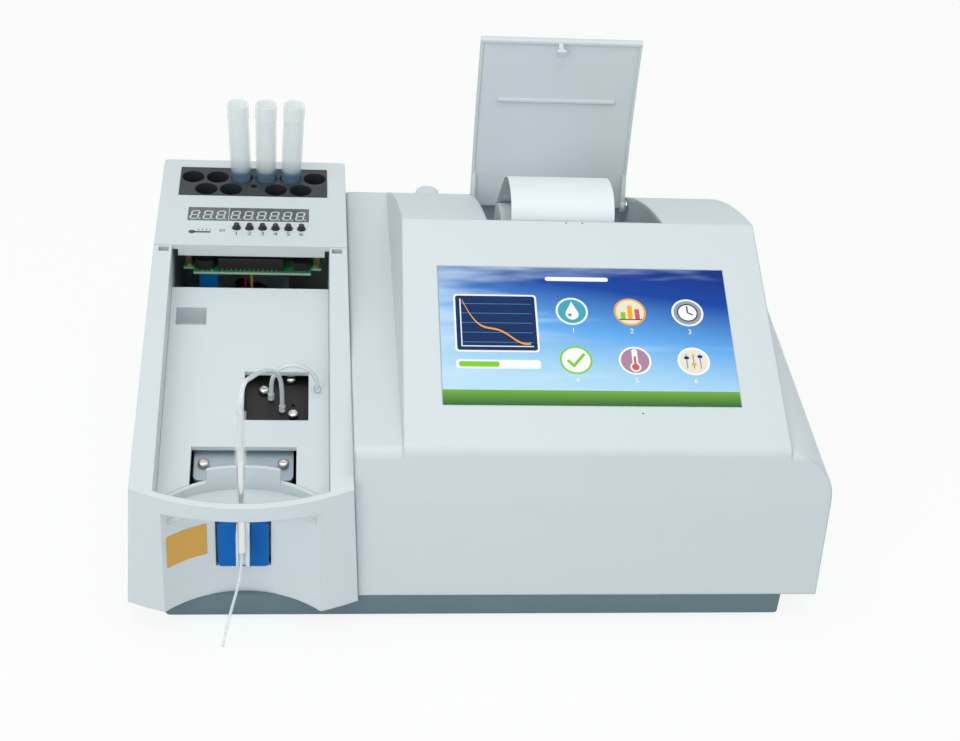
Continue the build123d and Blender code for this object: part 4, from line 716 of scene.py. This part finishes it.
numeral_x = [left + digit_pitch * i for left, count in digit_groups for i in range(count)]
numeral_bars = [bar for x in numeral_x for bar in numeral(x, digit_y)]
add_mesh("numeral_bars", *flat_faces(numeral_bars), segment_finish, "smoked_window")
divider = block(-137.0, 74.35, 0.45, 14.0)
add_mesh("numeral_divider", *flat_faces([on_head(divider, 0.02)]), segment_finish, "smoked_window")
ink_finish = moulded("dark_ink", (0.055, 0.062, 0.070), 0.5, 900.0, 0.02, 0.1 * mm)
button_x, button_pitch, label_y = -132.2, 7.3, 53.9
for number in range(6):
    at = (button_x + button_pitch * number, label_y, head_top + print_lift)
    lettering("key_number_%d" % (number + 1), str(number + 1), 3.8, at, to_right, (0, 1, 0), ink_finish,
              "housing_plastic")
# a thermometer lying on its side, with four strokes of a scale
sign_x, sign_y, stroke_pitch = -157.0, 55.0, 2.2
sign = [block(sign_x + 5.8, sign_y, 9.6, 1.6, 0.8), disc(sign_x, sign_y, 1.9)]
for k in range(4):
    x = sign_x + 3.6 + stroke_pitch * k
    sign.append(stroke(x, sign_y + 1.6, x, sign_y + 3.3, 0.5))
add_mesh("thermometer_sign", *flat_faces([on_head(part) for part in sign]), ink_finish, "housing_plastic")
# the latch slots beside the head's front lip get a dark face on their floor, painted shade inside them
slot_mid, slot_out, slot_y, slot_deep = -123.6, 47.9, 38.45, 6.15
slot_shade_faces = [on_head(block(slot_mid + side * slot_out, slot_y, 5.4, 3.2), -slot_deep) for side in (-1, 1)]
add_mesh("latch_slot_shade", *flat_faces(slot_shade_faces), black_finish, "black_plastic")

# ---------------------------------------------------------------- circuit boards
# Boards are green solder mask over copper tracks, with black chips and connectors on them. The head's board
# shows in the gap under the head plate, with its spacers, pins and solder points, a ribbon and two wires.


def solder_mask(name):
    """Green board: fine copper tracks show through as paler lines of a stretched brick pattern."""
    material = moulded(name, (0.016, 0.24, 0.090), 0.3, 1100.0, 0.1, 0.1 * mm, shade=0.15, coat=0.4)
    tree = material.node_tree
    shader = tree.nodes["Principled BSDF"]
    place = tree.nodes.new("ShaderNodeTexCoord")
    tracks = tree.nodes.new("ShaderNodeTexBrick")
    tracks.inputs["Scale"].default_value = 190.0
    tracks.inputs["Mortar Size"].default_value = 0.03
    tracks.inputs["Color1"].default_value = (0.013, 0.23, 0.085, 1)
    tracks.inputs["Color2"].default_value = (0.018, 0.27, 0.100, 1)
    tracks.inputs["Mortar"].default_value = (0.05, 0.30, 0.14, 1)
    tree.links.new(place.outputs["Object"], tracks.inputs["Vector"])
    tree.links.new(tracks.outputs["Color"], shader.inputs["Base Color"])
    return material


board_finish = solder_mask("solder_mask")
coat_node("head_board", board_finish)
board_z, board_front = 111.6, 44.0
board_left, board_right = -161.8, -84.4
notch_wide, notch_deep = 5.8, 5.0
board_thick, edge_lift = 1.5, 0.03


def upright_face(x0, x1, y, z0, z1):
    """A face that looks forward, from x0 to x1 and z0 to z1."""
    return np.array([(x0, y, z0), (x1, y, z0), (x1, y, z1), (x0, y, z1)])


# its cut edges show the pale glass fibre
edge_finish = moulded("board_edge", (0.40, 0.60, 0.46), 0.6, 900.0, 0.1, 0.1 * mm, shade=0.08)
edge_runs = [(board_left, board_left + notch_wide, board_front + notch_deep),
             (board_left + notch_wide, board_right - notch_wide, board_front),
             (board_right - notch_wide, board_right, board_front + notch_deep)]
edges = [upright_face(x0, x1, y - edge_lift, board_z - board_thick, board_z - 0.05)
         for x0, x1, y in edge_runs]
add_mesh("board_edge", *flat_faces(edges), edge_finish, "circuit_board")
# brass spacers at both ends, three solder points, and the connector's row of pins
brass_finish = metal("brass", (0.80, 0.62, 0.22), 0.3, along_z, 5.0, 0.2 * mm)


def prism(x, y, z0, z1, r, sides):
    """An upright prism: two rings of corners and a lid."""
    a = np.arange(sides) * 2 * np.pi / sides
    ring = np.stack([x + r * np.cos(a), y + r * np.sin(a)], axis=-1)
    points = np.concatenate([np.column_stack([ring, np.full(sides, z)]) for z in (z0, z1)])
    return points, [*grid_faces(2, sides, wrap=True), range(sides, 2 * sides)]


def add_prisms(name, places, tall, r, sides, finish):
    """Equal prisms that stand on the board at several places, as one metal piece."""
    prisms = [prism(x, y, board_z, board_z + tall, r, sides) for x, y in places]
    add_mesh(name, *joined(prisms), finish, "steel")


pin_pitch = 2.54
add_prisms("board_spacers", [(-158.6, 52.5), (-87.6, 52.5)], 8.5, 2.4, 6, brass_finish)
solder_finish = metal("solder", (0.85, 0.86, 0.86), 0.25, along_z, 3.0, 0.1 * mm)
add_prisms("solder_points", [(-150.7 + 2.5 * i, 45.6) for i in range(3)], 0.5, 0.55, 12, solder_finish)
add_prisms("connector_pins", [(-140.0 + pin_pitch * i, 45.1) for i in range(13)], 1.6, 0.3, 4, solder_finish)
coat_node("main_board", board_finish)
coat_node("head_components", black_finish)
ribbon_finish = moulded("blue_ribbon", (0.0, 0.17, 0.52), 0.35, 500.0, 0.1, 0.2 * mm, shade=0.06)
coat_node("ribbon_cable", ribbon_finish)
wires_part_x = -0.125


def two_wires():
    """Wire insulation, dark red to the left of wires_part_x and yellow to the right of it."""
    material = moulded("wire_insulation", (0.45, 0.26, 0.03), 0.35, 500.0, 0.1, 0.2 * mm, shade=0.1)
    tree = material.node_tree
    place = tree.nodes.new("ShaderNodeTexCoord")
    split = tree.nodes.new("ShaderNodeSeparateXYZ")
    side = tree.nodes.new("ShaderNodeMath")
    side.operation = "GREATER_THAN"
    side.inputs[1].default_value = wires_part_x
    pick = tree.nodes.new("ShaderNodeMix")
    pick.data_type = "RGBA"
    pick.inputs["A"].default_value = (0.30, 0.015, 0.010, 1)
    pick.inputs["B"].default_value = (0.62, 0.38, 0.04, 1)
    tree.links.new(place.outputs["Object"], split.inputs["Vector"])
    tree.links.new(split.outputs["X"], side.inputs[0])
    tree.links.new(side.outputs["Value"], pick.inputs["Factor"])
    tree.links.new(pick.outputs["Result"], tree.nodes["Principled BSDF"].inputs["Base Color"])
    return material


coat_node("head_wires", two_wires())

# ---------------------------------------------------------------- inside and rear
# The optics, motors, pump, power supply and rear connectors are bought-in parts in plain finishes. On the
# rear plate are the fan's finger guard, three wire rings on four spokes, and pan heads at the corners.
for name in ("optics_bench", "filter_wheel"):
    coat_node(name, anodised_black)
for name in ("gear_motors", "rear_panel", "power_supply"):
    coat_node(name, steel_finish)
for name in ("pump_rotor", "rear_sockets", "power_rocker", "fan_frame", "fan_rotor"):
    coat_node(name, black_finish)
for name in ("pump_head", "waste_outlet"):
    coat_node(name, guide_finish)
coat_node("lamp", clear_tube("bulb_glass", (0.95, 0.95, 0.93), 0.04, 0.95, 0.01))

# the plate's outer face, and the fan's middle on it
rear_y = 128.7
fan_x, fan_z = 60.0, 62.0


def facing_back(flat, y):
    """Turn points drawn as seen from behind into upright ones at depth y."""
    flat = np.asarray(flat, float)
    return np.column_stack([flat[:, 0], np.full(len(flat), y), flat[:, 1]])


guard_wire, ring_steps, ring_off = 0.6, 48, 1.6
spoke_from, spoke_to, spoke_near, spoke_far = 5.0, 22.6, 0.2, 1.3


def wire_ring(r):
    """A ring of the guard: a small circle of radius guard_wire carried round a circle of radius r."""
    turn_by = np.linspace(0, 2 * np.pi, ring_steps, endpoint=False)[:, None]
    around = np.linspace(0, 2 * np.pi, wire_steps, endpoint=False)[None, :]
    out = r + guard_wire * np.cos(around)
    depth = rear_y + ring_off + guard_wire * np.sin(around) + 0 * turn_by
    ring = np.stack([fan_x + out * np.cos(turn_by), depth, fan_z + out * np.sin(turn_by)], axis=-1)
    outward = grid_faces(ring_steps, wire_steps, wrap=True, close=True)[:, [0, 3, 2, 1]]
    return ring.reshape(-1, 3), outward


def spoke(turned):
    """A flat spoke of the guard, turned about the fan's axis: a bar with a back and a front face."""
    reach = np.array([cos(turned), sin(turned)])
    side = np.array([-sin(turned), cos(turned)]) * guard_wire
    near, far = reach * spoke_from, reach * spoke_to
    flat = np.array([near - side, far - side, far + side, near + side]) + [fan_x, fan_z]
    points = np.concatenate([facing_back(flat, rear_y + off) for off in (spoke_near, spoke_far)])
    return points, [(4, 7, 6, 5), (0, 1, 2, 3), (0, 4, 5, 1), (1, 5, 6, 2), (2, 6, 7, 3), (3, 7, 4, 0)]


guard = [wire_ring(r) for r in (6.0, 11.5, 17.0)] + [spoke(radians(45 + 90 * k)) for k in range(4)]
add_mesh("fan_guard", *joined(guard), steel_finish, "steel")


def rear_screw(x, z, wide):
    """A pan head on the rear plate: the upright one laid back so that it faces the rear."""
    points, faces = pan_head(0, 0, 0, wide)
    return np.column_stack([x + points[:, 0], rear_y + points[:, 2], z - points[:, 1]]), faces


fan_screw, rear_head = 16.0, 2.6
rear_screws = [(fan_x + sx * fan_screw, fan_z + sz * fan_screw) for sx in (-1, 1) for sz in (-1, 1)]
rear_screws += [(x, z) for x in (-41.0, 141.0) for z in (34.0, 84.0)]
rear_heads = [rear_screw(x, z, rear_head) for x, z in rear_screws]
add_mesh("rear_screws", *joined(rear_heads), screw_finish, "chrome")

# ---------------------------------------------------------------- floor and light
# A plain white floor under a white sky. A large soft lamp above, one at the front left and a weak one at the
# right light the object evenly. The floor and the sky are brighter to the eye than the light they give.
floor_half = 4.0


def seen_directly(tree, *rays):
    """One for a ray of the named kinds, such as the camera's own, and nought for light on its way."""
    path = tree.nodes.new("ShaderNodeLightPath")
    seen = path.outputs[rays[0]]
    for ray in rays[1:]:
        either = tree.nodes.new("ShaderNodeMath")
        either.operation = "MAXIMUM"
        tree.links.new(seen, either.inputs[0])
        tree.links.new(path.outputs[ray], either.inputs[1])
        seen = either.outputs["Value"]
    return seen


floor_mesh = bpy.data.meshes.new("floor")
corners = [(-floor_half, -floor_half, 0), (floor_half, -floor_half, 0), (floor_half, floor_half, 0),
           (-floor_half, floor_half, 0)]
floor_mesh.from_pydata(corners, [], [(0, 1, 2, 3)])
floor_paint = bpy.data.materials.new("floor_paint")
floor_paint.use_nodes = True
floor_tree = floor_paint.node_tree
floor_shader = floor_tree.nodes["Principled BSDF"]
floor_shader.inputs["Base Color"].default_value = (0.86, 0.87, 0.88, 1)
floor_shader.inputs["Roughness"].default_value = 0.9
floor_shader.inputs["Specular IOR Level"].default_value = 0.1
floor_glow = floor_tree.nodes.new("ShaderNodeEmission")
floor_glow.inputs["Color"].default_value = (1, 1, 1, 1)
floor_share = floor_tree.nodes.new("ShaderNodeMath")
floor_share.operation = "MULTIPLY"
floor_share.inputs[1].default_value = 0.86
floor_mix = floor_tree.nodes.new("ShaderNodeMixShader")
floor_seen = seen_directly(floor_tree, "Is Camera Ray", "Is Transmission Ray")
floor_tree.links.new(floor_seen, floor_share.inputs[0])
floor_tree.links.new(floor_share.outputs["Value"], floor_mix.inputs["Fac"])
floor_tree.links.new(floor_shader.outputs["BSDF"], floor_mix.inputs[1])
floor_tree.links.new(floor_glow.outputs["Emission"], floor_mix.inputs[2])
floor_tree.links.new(floor_mix.outputs["Shader"], floor_tree.nodes["Material Output"].inputs["Surface"])
floor_mesh.materials.append(floor_paint)
floor = bpy.data.objects.new("floor", floor_mesh)
bpy.context.scene.collection.objects.link(floor)

world = bpy.data.worlds.new("sky")
bpy.context.scene.world = world
world.use_nodes = True
sky = world.node_tree
ground_light = sky.nodes["Background"]
ground_light.inputs["Color"].default_value = (0.93, 0.97, 1.0, 1)
ground_light.inputs["Strength"].default_value = 0.53
seen_sky = sky.nodes.new("ShaderNodeBackground")
seen_sky.inputs["Color"].default_value = (1, 1, 1, 1)
sky_mix = sky.nodes.new("ShaderNodeMixShader")
sky_seen = seen_directly(sky, "Is Camera Ray", "Is Glossy Ray", "Is Transmission Ray")
sky.links.new(sky_seen, sky_mix.inputs["Fac"])
sky.links.new(ground_light.outputs["Background"], sky_mix.inputs[1])
sky.links.new(seen_sky.outputs["Background"], sky_mix.inputs[2])
sky.links.new(sky_mix.outputs["Shader"], sky.nodes["World Output"].inputs["Surface"])


def soft_lamp(name, place, aim, size, power, colour):
    """A square soft lamp at a place in metres, facing a point."""
    lamp = bpy.data.lights.new(name, "AREA")
    lamp.shape = "SQUARE"
    lamp.size = size
    lamp.energy = power
    lamp.color = colour
    holder = bpy.data.objects.new(name, lamp)
    towards = Vector(aim) - Vector(place)
    holder.matrix_world = Matrix.Translation(place) @ towards.to_track_quat("-Z", "Y").to_matrix().to_4x4()
    bpy.context.scene.collection.objects.link(holder)


soft_lamp("top_lamp", (-0.15, -0.2, 1.6), (0, 0, 0.1), 1.4, 11.0, (1.0, 0.985, 0.975))
soft_lamp("front_lamp", (-0.9, -1.4, 0.9), (0, -0.05, 0.1), 1.0, 7.8, (0.98, 0.995, 1.0))
soft_lamp("right_lamp", (1.5, -0.5, 0.9), (0, 0, 0.1), 1.0, 2.0, (0.98, 0.99, 1.0))
bpy.context.scene.view_settings.view_transform = "Standard"

bpy.context.view_layer.update()
